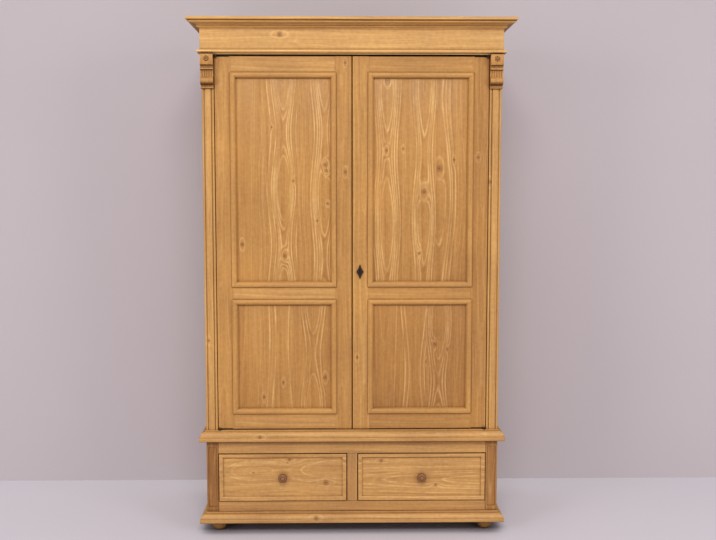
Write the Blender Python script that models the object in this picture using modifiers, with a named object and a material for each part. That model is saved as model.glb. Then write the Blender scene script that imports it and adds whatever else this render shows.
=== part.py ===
"""A two-door pine wardrobe on a base with two drawers.

Metres, +Z up. The front faces -Y, and the origin is on the floor under the middle of the piece.
"""

import math

import bmesh
import bpy
from mathutils import Vector

# Case: widths and depths
BODY_WIDTH = 1.180
BODY_DEPTH = 0.560
CASE_BOARD = 0.020
POST_WIDTH = 0.047
POST_THICKNESS = 0.022
BACK_BOARD = 0.012
SEAT = 0.0003
EDGE = 0.0012

# Case: heights from the floor upwards
FOOT_HEIGHT = 0.045
PLINTH_HEIGHT = 0.042
BOTTOM_RAIL_HEIGHT = 0.042
DRAWER_OPENING_HEIGHT = 0.198
TOP_RAIL_HEIGHT = 0.054
WAIST_HEIGHT = 0.044
DOOR_OPENING_HEIGHT = 1.496
FRIEZE_HEIGHT = 0.098
CORNICE_HEIGHT = 0.041

# Feet
FOOT_RADIUS = 0.031
FOOT_NECK_RADIUS = 0.021
FOOT_SOLE_RADIUS = 0.009
FOOT_SHOULDER = 0.033
FOOT_INSET = 0.044

# Mouldings that run round three sides
PLINTH_OUT = 0.027
PLINTH_INNER = 0.096
PLINTH_FILLET = 0.0075
WAIST_OUT = 0.027
WAIST_INNER_FRONT = 0.035
WAIST_FILLET = 0.0050
FRIEZE_OUT = 0.0055
FRIEZE_INNER_FRONT = 0.0345
BEAD_HEIGHT = 0.020
BEAD_OUT = 0.0115
CORNICE_OUT = 0.0535

# Base and drawers
DIVIDER_WIDTH = 0.042
DECK_THICKNESS = 0.018
GUIDE_HEIGHT = 0.030
GUIDE_PLAY = 0.0008
RUNNING_GAP = 0.0004
DRAWER_GAP = 0.0025
DRAWER_SIDE_GAP = 0.003
DRAWER_FRONT_THICKNESS = 0.025
DRAWER_FRONT_PROUD = 0.003
DRAWER_BORDER_FLAT = 0.006
DRAWER_BORDER_SLOPE = 0.011
DRAWER_FIELD_DEPTH = 0.0065
DRAWER_SIDE = 0.012
DRAWER_BOTTOM = 0.007
DRAWER_BOTTOM_RISE = 0.010
DRAWER_END_GAP = 0.031
DRAWER_SIDE_DROP = 0.016
DRAWER_BACK_DROP = 0.010
TAIL_COUNT = 4
TAIL_LENGTH = 0.015
TAIL_SHARE = 0.62
TAIL_SLOPE = 1 / 6
TAIL_MARGIN = 0.004
POST_PANEL_MARGIN = 0.0065
POST_PANEL_TOP = 0.025
POST_PANEL_BOTTOM = 0.019
POST_PANEL_DEPTH = 0.0035

# Drawer knobs
KNOB_RADIUS = 0.0185
KNOB_LENGTH = 0.029
KNOB_NECK_RADIUS = 0.0085
KNOB_SPIGOT_RADIUS = 0.006
KNOB_SPIGOT_LENGTH = 0.014

# Upper case
FLOOR_BOARD = 0.018
ROOF_BOARD = 0.0172
SHELF_BOARD = 0.018
SHELF_HEIGHT = 1.600
SHELF_SETBACK = 0.060
SHELF_HOUSING = 0.006
BACK_BOARD_COUNT = 12
BACK_GROOVE = 0.003
RAIL_RADIUS = 0.014
RAIL_DROP = 0.075
RAIL_SETBACK = 0.280
SOCKET_THICKNESS = 0.018
SOCKET_RADIUS = 0.026
PILASTER_GROOVE_INSET = 0.0095
PILASTER_GROOVE_RADIUS = 0.0019
PILASTER_SINK = 0.0020
PILASTER_CREST = 0.0205
CORBEL_WIDTH = 0.050
CORBEL_HEIGHT = 0.132
CORBEL_OUT = 0.025

# Doors
DOOR_GAP = 0.003
DOOR_TOP_GAP = 0.0055
DOOR_SIDE_GAP = 0.002
MEETING_GAP = 0.004
DOOR_THICKNESS = 0.024
DOOR_RECESS = 0.003
STOP_GAP = 0.0005
STILE = 0.066
DOOR_TOP_RAIL = 0.0685
DOOR_MIDDLE_RAIL = 0.061
DOOR_BOTTOM_RAIL = 0.067
LOWER_PANEL_HEIGHT = 0.454
PANEL_THICKNESS = 0.010
PANEL_SETBACK = 0.007
PANEL_TONGUE = 0.007
GROOVE_DEPTH = 0.008
MOULDING_LIP = 0.006
MOULDING_INSIDE = 0.018
MOULDING_CREST = 0.0075

# Knife hinges
HINGE_INSET = 0.006
HINGE_FORWARD = 0.005
LEAF_LENGTH = 0.050
LEAF_ARM_NEAR = 0.010
LEAF_ARM_FAR = 0.022
DOOR_LEAF_THICKNESS = 0.003
PIN_RADIUS = 0.0025
PIN_CLEARANCE = 0.0003

# Lock on the right door
LOCK_HEIGHT = 1.066
LOCK_WIDTH = 0.054
LOCK_CASE_HEIGHT = 0.080
LOCK_THICKNESS = 0.012
KEYHOLE_INSET = 0.0295
KEYHOLE_RADIUS = 0.003
KEYHOLE_SLOT = 0.0026
KEYHOLE_DROP = 0.009
KEYHOLE_RISE = 0.005
KEYHOLE_DEPTH = 0.005
LOCK_BOLT_RISE = 0.024
LOCK_BOLT_HEIGHT = 0.014
LOCK_BOLT_THICKNESS = 0.006
LOCK_BOLT_LENGTH = 0.034
LOCK_BOLT_TRAVEL = 0.010
ESCUTCHEON_WIDTH = 0.029
ESCUTCHEON_HEIGHT = 0.060
ESCUTCHEON_THICKNESS = 0.0022

# Bolt inside the left door
BOLT_RADIUS = 0.004
BOLT_LENGTH = 0.115
BOLT_INSET = 0.033
BOLT_OFFSET = 0.009
BOLT_TOP_GAP = 0.003
BOLT_TRAVEL = 0.012
BOLT_PLAY = 0.0003
BOLT_PLATE_WIDTH = 0.030
BOLT_PLATE_HEIGHT = 0.090
BOLT_PLATE_THICKNESS = 0.0025
BOLT_GUIDE_HEIGHT = 0.016
BOLT_GUIDE_WIDTH = 0.016
BOLT_GRIP_RADIUS = 0.005
BOLT_GRIP_LENGTH = 0.018

# How finely round things are faceted
ARC_STEPS = 7
TURNED_STEPS = 28
BORE_STEPS = 20
OVER = 0.002

# Colours in linear red, green and blue, then roughness and metallic
PINE = ((0.62, 0.36, 0.14), 0.50, 0.0)
PINE_INSIDE = ((0.68, 0.45, 0.22), 0.62, 0.0)
PINE_KNOB = ((0.42, 0.20, 0.08), 0.42, 0.0)
IRON = ((0.035, 0.030, 0.028), 0.45, 0.9)

# Planes and levels that follow from the sizes above
HALF = BODY_WIDTH / 2
FRONT = (CORNICE_OUT - BODY_DEPTH) / 2
BACK = FRONT + BODY_DEPTH
INSIDE = HALF - CASE_BOARD
BETWEEN_POSTS = HALF - POST_WIDTH
BEHIND_POST = FRONT + POST_THICKNESS + SEAT
BACK_FACE = BACK - BACK_BOARD - SEAT
Z_BASE = FOOT_HEIGHT + PLINTH_HEIGHT
Z_DECK = Z_BASE + BOTTOM_RAIL_HEIGHT
Z_TOP_RAIL = Z_DECK + DRAWER_OPENING_HEIGHT
Z_WAIST = Z_TOP_RAIL + TOP_RAIL_HEIGHT
Z_CASE = Z_WAIST + WAIST_HEIGHT
Z_FRIEZE = Z_CASE + DOOR_OPENING_HEIGHT
Z_CORNICE = Z_FRIEZE + FRIEZE_HEIGHT
DOOR_FRONT = FRONT + DOOR_RECESS
DOOR_BACK = DOOR_FRONT + DOOR_THICKNESS
DOOR_BOTTOM = Z_CASE + DOOR_GAP
DOOR_TOP = Z_FRIEZE - DOOR_TOP_GAP
DOOR_OUTER = BETWEEN_POSTS - DOOR_SIDE_GAP
DOOR_INNER = MEETING_GAP / 2
HINGE_X = DOOR_OUTER - HINGE_INSET
HINGE_Y = DOOR_FRONT - HINGE_FORWARD
KEYHOLE_X = DOOR_INNER + KEYHOLE_INSET
ROOF_UNDERSIDE = Z_FRIEZE - SEAT - ROOF_BOARD
BOLT_X = -(DOOR_INNER + BOLT_INSET)
BOLT_Y = DOOR_BACK + BOLT_OFFSET
DRAWER_FACE = FRONT - DRAWER_FRONT_PROUD
DRAWER_BACK_FACE = DRAWER_FACE + DRAWER_FRONT_THICKNESS
DRAWER_END = BACK - BACK_BOARD - DRAWER_END_GAP

SIDES = (("left", -1), ("right", 1))


def new_collection(name):
    collection = bpy.data.collections.new(name)
    bpy.context.scene.collection.children.link(collection)
    return collection


def finish(obj, look):
    colour, roughness, metallic = look
    material = bpy.data.materials.new(obj.name)
    material.use_nodes = True
    shader = material.node_tree.nodes["Principled BSDF"]
    shader.inputs["Base Color"].default_value = (*colour, 1.0)
    shader.inputs["Roughness"].default_value = roughness
    shader.inputs["Metallic"].default_value = metallic
    obj.data.materials.append(material)


def new_object(name, mesh, location, look):
    """A piece of the wardrobe, or a cutter or a part of a piece where look is None."""
    obj = bpy.data.objects.new(name, mesh)
    obj.location = location
    if look is None:
        cutters.objects.link(obj)
        obj.hide_render = True
        obj.display_type = "WIRE"
    else:
        wardrobe.objects.link(obj)
        finish(obj, look)
    return obj


def ease(obj, width=EDGE, segments=1):
    """Softens the sharp edges that the piece has so far."""
    bevel = obj.modifiers.new("eased edges", "BEVEL")
    bevel.width = width
    bevel.segments = segments
    bevel.limit_method = "ANGLE"


def boolean(obj, other, operation):
    modifier = obj.modifiers.new(operation.lower(), "BOOLEAN")
    modifier.operation = operation
    modifier.solver = "EXACT"
    modifier.object = other


def cut(obj, *others):
    for other in others:
        boolean(obj, other, "DIFFERENCE")


def fuse(obj, *others):
    for other in others:
        boolean(obj, other, "UNION")


def box(name, x, y, z, look=None):
    """A block that fills three spans, with its origin at its centre."""
    spans = (sorted(x), sorted(y), sorted(z))
    bm = bmesh.new()
    bmesh.ops.create_cube(bm, size=1)
    bmesh.ops.scale(bm, vec=[high - low for low, high in spans], verts=bm.verts)
    mesh = bpy.data.meshes.new(name)
    bm.to_mesh(mesh)
    bm.free()
    return new_object(name, mesh, [(low + high) / 2 for low, high in spans], look)


def board(name, x, y, z, look=PINE):
    obj = box(name, x, y, z, look)
    ease(obj)
    return obj


def run(name, sections, look=None, closed=False):
    """Extrudes the first outline through all the others. A closed run joins its end to its start."""
    sections = [[Vector(point) for point in section] for section in sections]
    bm = bmesh.new()
    start = bm.faces.new([bm.verts.new(point) for point in sections[0]])
    face = start
    for before, after in zip(sections, sections[1:]):
        grown = bmesh.ops.extrude_face_region(bm, geom=[face, *face.edges])["geom"]
        face = next(item for item in grown if isinstance(item, bmesh.types.BMFace))
        for vert in face.verts:
            nearest = min(range(len(before)), key=lambda i: (vert.co - before[i]).length)
            vert.co = after[nearest]
    if closed:
        bmesh.ops.delete(bm, geom=[start, face], context="FACES_ONLY")
        bmesh.ops.remove_doubles(bm, verts=bm.verts, dist=1e-6)
    bmesh.ops.recalc_face_normals(bm, faces=bm.faces)
    mesh = bpy.data.meshes.new(name)
    bm.to_mesh(mesh)
    bm.free()
    return new_object(name, mesh, (0, 0, 0), look)


def extruded(name, outline, axis, low, high, look=None):
    """A flat outline, drawn in the two other axes in X, Y, Z order, and extruded along this one."""
    sections = [
        [(*point[:axis], level, *point[axis:]) for point in outline] for level in (low, high)
    ]
    return run(name, sections, look)


def turned(name, profile, location, look, steps=TURNED_STEPS):
    """A profile of radii and heights, top to bottom, turned about the upright axis."""
    mesh = bpy.data.meshes.new(name)
    mesh.from_pydata(
        [(radius, 0, height) for radius, height in profile],
        [(i, i + 1) for i in range(len(profile) - 1)],
        [],
    )
    obj = new_object(name, mesh, location, look)
    screw = obj.modifiers.new("turned", "SCREW")
    screw.angle = math.tau
    screw.steps = screw.render_steps = steps
    screw.use_merge_vertices = True
    screw.merge_threshold = 1e-5
    screw.use_smooth_shade = True
    return obj


def rod(name, radius, start, length, turn=(0, 0, 0), look=None):
    """A round bar that rises from its start, or lies as turn says."""
    profile = [(0, length), (radius, length), (radius, 0), (0, 0)]
    obj = turned(name, profile, start, look, BORE_STEPS)
    obj.rotation_euler = turn
    return obj


TO_THE_FRONT = (math.pi / 2, 0, 0)
TO_THE_RIGHT = (0, math.pi / 2, 0)


def arc(centre, radii, start, end, steps=ARC_STEPS):
    """Points on an ellipse from one angle to another, in degrees, both ends included."""
    angles = [math.radians(start + (end - start) * i / steps) for i in range(steps + 1)]
    return [
        (centre[0] + radii[0] * math.cos(angle), centre[1] + radii[1] * math.sin(angle))
        for angle in angles
    ]


def moulding(name, level, face, inner_side, inner_front, look=PINE):
    """A mitred moulding round the front and both sides of the case.

    face is its outer face from bottom to top, in distances out of the body and heights above level.
    inner_side and inner_front say how far it reaches inside the body's sides and front.
    """
    low, high = face[0][1], face[-1][1]

    def section(x, y, side, forward):
        outer = [(x + side * out, y - forward * out, level + rise) for out, rise in face]
        inner_x = x - side * inner_side
        inner_y = y + forward * inner_front
        return [*outer, (inner_x, inner_y, level + high), (inner_x, inner_y, level + low)]

    corners = (
        (-HALF, BACK, -1, 0),
        (-HALF, FRONT, -1, 1),
        (HALF, FRONT, 1, 1),
        (HALF, BACK, 1, 0),
    )
    return run(name, [section(*corner) for corner in corners], look)


def pivot(name, location):
    """An empty on a joint's axis, which the pieces of one moving body hang from."""
    empty = bpy.data.objects.new(name, None)
    empty.location = location
    wardrobe.objects.link(empty)
    return empty


def hang(empty, *pieces):
    for piece in pieces:
        piece.location = piece.location - empty.location
        piece.parent = empty


def ovolo_base(out, height, fillet):
    """The section shared by plinth and waist: a square nosing, an ovolo over a quirk, and a fillet."""
    nosing, quirk = 0.0155, 0.0015
    arris = 0.0025
    neck = 0.0045
    hip = out - 0.0035
    spring = nosing + quirk
    shoulder = height - fillet - 0.0010
    return [
        (out - arris, 0),
        (out, arris),
        (out, nosing - quirk),
        (out - quirk, nosing),
        (hip, nosing),
        *arc((neck + quirk, spring), (hip - neck - quirk, shoulder - spring), 0, 90),
        (neck + quirk, height - fillet),
        (neck, height - fillet),
        (neck, height),
    ]


def cornice_face():
    """Cavetto, bead, cove, quarter round and top fascia, from the frieze out to the tip."""
    foot = FRIEZE_OUT + 0.001
    bead = foot + 0.006
    throat = CORNICE_OUT - 0.0200
    tip = CORNICE_OUT
    arris = 0.0015
    return [
        *arc((bead + 0.0005, 0), (bead + 0.0005 - foot, 0.0050), 180, 90),
        *arc((bead, 0.0088), (0.0048, 0.0037), -80, 90),
        (bead + 0.0030, 0.0132),
        *arc((throat, 0.0135), (throat - bead - 0.0030, 0.0072), 180, 90)[1:],
        (throat + 0.0005, 0.0213),
        *arc((throat + 0.0005, 0.0284), (0.0100, 0.0070), -90, 0),
        (throat + 0.0120, 0.0300),
        (tip - arris, 0.0300),
        (tip, 0.0300 + arris),
        (tip, CORNICE_HEIGHT - arris),
        (tip - arris, CORNICE_HEIGHT),
    ]


def bead_face():
    """A nosing over a small cove, planted on the foot of the frieze."""
    root = FRIEZE_OUT + 0.001
    nose = FRIEZE_OUT + BEAD_OUT
    return [
        *arc((nose - 0.002, 0), (nose - 0.002 - root, 0.0060), 180, 90),
        *arc((nose - 0.0050, 0.0118), (0.0050, 0.0052), -60, 90),
        (root, BEAD_HEIGHT - 0.0008),
        (root, BEAD_HEIGHT),
    ]


def corbel_outline():
    """Side view: carved block, cove, fillet, hollow and roll, over a thin lip. Y and Z."""
    out = CORBEL_OUT
    face = [
        (out, 0),
        (out, 0.0405),
        (out - 0.002, 0.0425),
        (out - 0.006, 0.0425),
        *arc((out - 0.006, 0.0520), (0.0050, 0.0085), -100, -180, 5),
        (out - 0.0075, 0.0530),
        (out - 0.0070, 0.0585),
        (out - 0.0100, 0.0600),
        *arc((out - 0.010, 0.0745), (0.0060, 0.0140), -100, -250, 8),
        *arc((0.010, 0.1020), (0.0130, 0.0135), -75, 75, 9),
        (0.0050, 0.1200),
        (0.0050, 0.1250),
        (0.0075, 0.1270),
        (0.0075, 0.1305),
        (0.0055, CORBEL_HEIGHT),
    ]
    top = Z_FRIEZE - SEAT
    front = [(FRONT - forward, top - drop) for forward, drop in face]
    seat = FRONT - SEAT
    return [(seat, top), *front, (seat, top - CORBEL_HEIGHT)]


def pilaster_outline(sign):
    """Plan view: a flat field between two round grooves, which slopes down to the outer one."""
    groove = PILASTER_GROOVE_RADIUS
    sink = PILASTER_SINK
    inner = POST_WIDTH - PILASTER_GROOVE_INSET
    face = [
        (EDGE, 0),
        (PILASTER_GROOVE_INSET - groove, 0),
        *arc((PILASTER_GROOVE_INSET, sink), (groove, groove), 180, 0, 5),
        (PILASTER_CREST, 0),
        (inner - groove, 0),
        *arc((inner, sink), (groove, groove), 180, 0, 5),
        (inner + groove, 0),
        (POST_WIDTH - EDGE, 0),
        (POST_WIDTH, EDGE),
        (POST_WIDTH, POST_THICKNESS),
        (0, POST_THICKNESS),
        (0, EDGE),
    ]
    return [(sign * (HALF - across), FRONT + deep) for across, deep in face]


def panel_moulding_section():
    """A bolection: across the frame's edge, positive over the frame, and forward of its face."""
    lip, inside, crest = MOULDING_LIP, MOULDING_INSIDE, MOULDING_CREST
    bed = SEAT - PANEL_SETBACK
    torus, step, ease_in = 0.0052, 0.0030, 0.0015
    return [
        (lip, SEAT),
        *arc((lip - torus, crest - torus), (torus, torus), 0, 128, 8),
        (ease_in - inside, bed + step),
        (-inside, bed + step - ease_in),
        (-inside, bed),
        (-SEAT, bed),
        (-SEAT, SEAT),
    ]


def leaf_outline(sign, grow=0.0):
    """Plan of a knife hinge leaf: a round eye on the axis, a neck and an arm along the door's edge."""
    eye = HINGE_INSET + grow
    towards_middle = [
        *arc((0, 0), (eye, eye), 0, -180, 10),
        (-eye, LEAF_ARM_FAR + grow),
        (LEAF_LENGTH + grow, LEAF_ARM_FAR + grow),
        (LEAF_LENGTH + grow, LEAF_ARM_NEAR - grow),
        (eye, LEAF_ARM_NEAR - grow),
    ]
    return [(sign * (HINGE_X - along), HINGE_Y + back) for along, back in towards_middle]


def drawer_side_outline(bottom, top, first, pitch):
    """Side view of a drawer side, with tails on its front end. Y and Z."""
    shoulder = DRAWER_BACK_FACE + SEAT
    outline = [(shoulder, bottom)]
    for number in range(TAIL_COUNT):
        outline += tail_outline(first + (number + 0.5) * pitch, pitch)
    return [*outline, (shoulder, top), (DRAWER_END, top), (DRAWER_END, bottom)]


def tail_outline(centre, pitch, grow=0.0, root_overrun=0.0):
    """One dovetail in side view: narrow at the shoulder, wide at its tip."""
    root = pitch * TAIL_SHARE / 2 + grow
    tip = root + TAIL_LENGTH * TAIL_SLOPE
    shoulder = DRAWER_BACK_FACE + SEAT + root_overrun
    end = DRAWER_BACK_FACE + SEAT - TAIL_LENGTH - grow
    return [
        (shoulder, centre - root),
        (end, centre - tip),
        (end, centre + tip),
        (shoulder, centre + root),
    ]


for old in list(bpy.data.objects):
    bpy.data.objects.remove(old, do_unlink=True)
wardrobe = new_collection("wardrobe")
cutters = new_collection("cutters")


# Feet: turned bun feet under the corners of the plinth
foot_profile = [
    (0, FOOT_HEIGHT - SEAT),
    (FOOT_NECK_RADIUS, FOOT_HEIGHT - SEAT),
    (FOOT_NECK_RADIUS, FOOT_HEIGHT - 0.003),
    *arc(
        (FOOT_NECK_RADIUS, FOOT_SHOULDER),
        (FOOT_RADIUS - FOOT_NECK_RADIUS, FOOT_HEIGHT - 0.004 - FOOT_SHOULDER),
        90,
        0,
        5,
    ),
    *arc((FOOT_SOLE_RADIUS, FOOT_SHOULDER), (FOOT_RADIUS - FOOT_SOLE_RADIUS, FOOT_SHOULDER), 0, -90)[1:],
    (0, 0),
]
for end, y in (("front", FRONT + FOOT_INSET), ("back", BACK - FOOT_INSET)):
    for side, sign in SIDES:
        turned(f"foot_{end}_{side}", foot_profile, (sign * (HALF - FOOT_INSET), y, 0), PINE)


# Base: plinth frame, sides, back, posts with sunk panels, rails and the deck that the drawers run on
moulding("plinth_moulding", FOOT_HEIGHT, ovolo_base(PLINTH_OUT, PLINTH_HEIGHT, PLINTH_FILLET), PLINTH_INNER, PLINTH_INNER)
base_span = (Z_BASE + SEAT, Z_WAIST - SEAT)
for side, sign in SIDES:
    board(f"base_side_{side}", (sign * INSIDE, sign * HALF), (BEHIND_POST, BACK), base_span)
    post = board(
        f"base_post_{side}",
        (sign * BETWEEN_POSTS, sign * HALF),
        (FRONT, FRONT + POST_THICKNESS),
        base_span,
    )
    sunk = box(
        f"sunk_panel_{side}",
        (sign * (BETWEEN_POSTS + POST_PANEL_MARGIN), sign * (HALF - POST_PANEL_MARGIN)),
        (FRONT - OVER, FRONT + POST_PANEL_DEPTH),
        (Z_BASE + POST_PANEL_BOTTOM, Z_WAIST - POST_PANEL_TOP),
    )
    cut(post, sunk)
between_sides = (-INSIDE + SEAT, INSIDE - SEAT)
board("base_back", between_sides, (BACK - BACK_BOARD, BACK), (Z_BASE + SEAT, Z_CASE - SEAT), PINE_INSIDE)
rail_width = (-BETWEEN_POSTS + SEAT, BETWEEN_POSTS - SEAT)
rail_depth = (FRONT, FRONT + POST_THICKNESS)
board("base_top_rail", rail_width, rail_depth, (Z_TOP_RAIL, Z_WAIST - SEAT))
board("base_bottom_rail", rail_width, rail_depth, (Z_BASE + SEAT, Z_DECK))
board(
    "drawer_divider",
    (-DIVIDER_WIDTH / 2, DIVIDER_WIDTH / 2),
    rail_depth,
    (Z_DECK + SEAT, Z_TOP_RAIL - SEAT),
)

# The deck is one board with three guides glued on, one outline drawn from the front
drawer_near = DIVIDER_WIDTH / 2 + DRAWER_SIDE_GAP
drawer_far = BETWEEN_POSTS - DRAWER_SIDE_GAP
guide_near = drawer_near - GUIDE_PLAY
guide_far = drawer_far + GUIDE_PLAY
deck_half = [
    (guide_near, Z_DECK + GUIDE_HEIGHT),
    (guide_near, Z_DECK),
    (guide_far, Z_DECK),
    (guide_far, Z_DECK + GUIDE_HEIGHT),
    (INSIDE - SEAT, Z_DECK + GUIDE_HEIGHT),
    (INSIDE - SEAT, Z_DECK - DECK_THICKNESS),
]
deck_outline = deck_half + [(-x, z) for x, z in reversed(deck_half)]
extruded("drawer_deck", deck_outline, 1, BEHIND_POST, BACK_FACE, PINE_INSIDE)

moulding("waist_moulding", Z_WAIST, ovolo_base(WAIST_OUT, WAIST_HEIGHT, WAIST_FILLET), CASE_BOARD, WAIST_INNER_FRONT)


# Upper case: floor, sides, roof and V-grooved back boards
board(
    "carcass_floor",
    between_sides,
    (DOOR_BACK + STOP_GAP, BACK_FACE),
    (Z_CASE + SEAT, Z_CASE + SEAT + FLOOR_BOARD),
    PINE_INSIDE,
)
shelf_span = (SHELF_HEIGHT - SHELF_BOARD, SHELF_HEIGHT)
shelf_front = FRONT + SHELF_SETBACK
for side, sign in SIDES:
    case_side = board(
        f"carcass_side_{side}",
        (sign * INSIDE, sign * HALF),
        (BEHIND_POST, BACK),
        (Z_CASE + SEAT, Z_FRIEZE - SEAT),
    )
    housing = box(
        f"shelf_housing_{side}",
        (sign * (INSIDE - OVER), sign * (INSIDE + SHELF_HOUSING)),
        (shelf_front - SEAT, BACK + OVER),
        (shelf_span[0] - SEAT, shelf_span[1] + SEAT),
    )
    cut(case_side, housing)
roof = board(
    "carcass_roof",
    between_sides,
    (DOOR_BACK + STOP_GAP, BACK_FACE),
    (ROOF_UNDERSIDE, Z_FRIEZE - SEAT),
    PINE_INSIDE,
)
bolt_reach = BOLT_TRAVEL - BOLT_TOP_GAP
bolt_hole = rod(
    "roof_bolt_hole",
    BOLT_RADIUS + BOLT_PLAY,
    (BOLT_X, BOLT_Y, ROOF_UNDERSIDE - OVER),
    bolt_reach + OVER + BOLT_TOP_GAP,
)
cut(roof, bolt_hole)

back_pitch = 2 * between_sides[1] / BACK_BOARD_COUNT
back_outline = [(between_sides[1], BACK), (between_sides[0], BACK), (between_sides[0], BACK_FACE + SEAT)]
for number in range(1, BACK_BOARD_COUNT):
    joint = between_sides[0] + number * back_pitch
    back_outline += [
        (joint - BACK_GROOVE, BACK_FACE + SEAT),
        (joint, BACK_FACE + SEAT + BACK_GROOVE),
        (joint + BACK_GROOVE, BACK_FACE + SEAT),
    ]
back_outline.append((between_sides[1], BACK_FACE + SEAT))
extruded("back_panel", back_outline, 2, Z_CASE + SEAT, Z_CORNICE - SEAT, PINE_INSIDE)


# Pilasters and the corbels at their heads
for side, sign in SIDES:
    extruded(f"pilaster_{side}", pilaster_outline(sign), 2, Z_CASE + SEAT, Z_FRIEZE - SEAT, PINE)
    inner = sign * BETWEEN_POSTS
    corbel = extruded(
        f"corbel_{side}", corbel_outline(), 0, inner, inner + sign * CORBEL_WIDTH, PINE
    )
    ease(corbel, 0.0008)


# Head: frieze with its bead, and the cornice
frieze_face = [(FRIEZE_OUT, SEAT), (FRIEZE_OUT, FRIEZE_HEIGHT - SEAT)]
moulding("frieze", Z_FRIEZE, frieze_face, CASE_BOARD, FRIEZE_INNER_FRONT)
bead_seat = -(FRIEZE_OUT + SEAT)
moulding("frieze_bead", Z_FRIEZE, bead_face(), bead_seat, bead_seat)
moulding("cornice", Z_CORNICE, cornice_face(), CASE_BOARD, FRIEZE_INNER_FRONT)


# Inside: hat shelf, and a clothes rail that drops into two open sockets
shelf_reach = INSIDE + SHELF_HOUSING - SEAT
board("hat_shelf", (-shelf_reach, shelf_reach), (shelf_front, BACK_FACE), shelf_span, PINE_INSIDE)
rail_y = FRONT + RAIL_SETBACK
rail_z = shelf_span[0] - RAIL_DROP
rail_end = INSIDE - SOCKET_THICKNESS / 2
rod(
    "hanging_rail",
    RAIL_RADIUS,
    (-rail_end, rail_y, rail_z),
    2 * rail_end,
    TO_THE_RIGHT,
    PINE_INSIDE,
)
seat_radius = RAIL_RADIUS + SEAT
socket_outline = [
    (rail_y + SOCKET_RADIUS, rail_z + SOCKET_RADIUS),
    (rail_y + seat_radius, rail_z + SOCKET_RADIUS),
    *arc((rail_y, rail_z), (seat_radius, seat_radius), 0, -180, 10),
    (rail_y - seat_radius, rail_z + SOCKET_RADIUS),
    (rail_y - SOCKET_RADIUS, rail_z + SOCKET_RADIUS),
    *arc((rail_y, rail_z), (SOCKET_RADIUS, SOCKET_RADIUS), 180, 360, 14),
]
for side, sign in SIDES:
    inner, outer = INSIDE - SEAT - SOCKET_THICKNESS, INSIDE - SEAT
    extruded(f"rail_socket_{side}", socket_outline, 0, sign * inner, sign * outer, PINE)


# Doors: a mortised frame, two flat panels in its grooves, and bolection mouldings over their edges
def door_openings():
    """The lower and upper opening of a door frame, as spans of height."""
    lower = DOOR_BOTTOM + DOOR_BOTTOM_RAIL
    upper = lower + LOWER_PANEL_HEIGHT + DOOR_MIDDLE_RAIL
    return {
        "lower": (lower, lower + LOWER_PANEL_HEIGHT),
        "upper": (upper, DOOR_TOP - DOOR_TOP_RAIL),
    }


def panel_moulding(name, x, z):
    """Four mitred lengths round one opening of a door."""
    centre_x, centre_z = sum(x) / 2, sum(z) / 2
    half_x, half_z = abs(x[1] - x[0]) / 2, abs(z[1] - z[0]) / 2
    sections = [
        [
            (
                centre_x + turn_x * (half_x + across),
                DOOR_FRONT - forward,
                centre_z + turn_z * (half_z + across),
            )
            for across, forward in panel_moulding_section()
        ]
        for turn_x, turn_z in ((-1, -1), (1, -1), (1, 1), (-1, 1), (-1, -1))
    ]
    return run(name, sections, PINE, closed=True)


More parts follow.
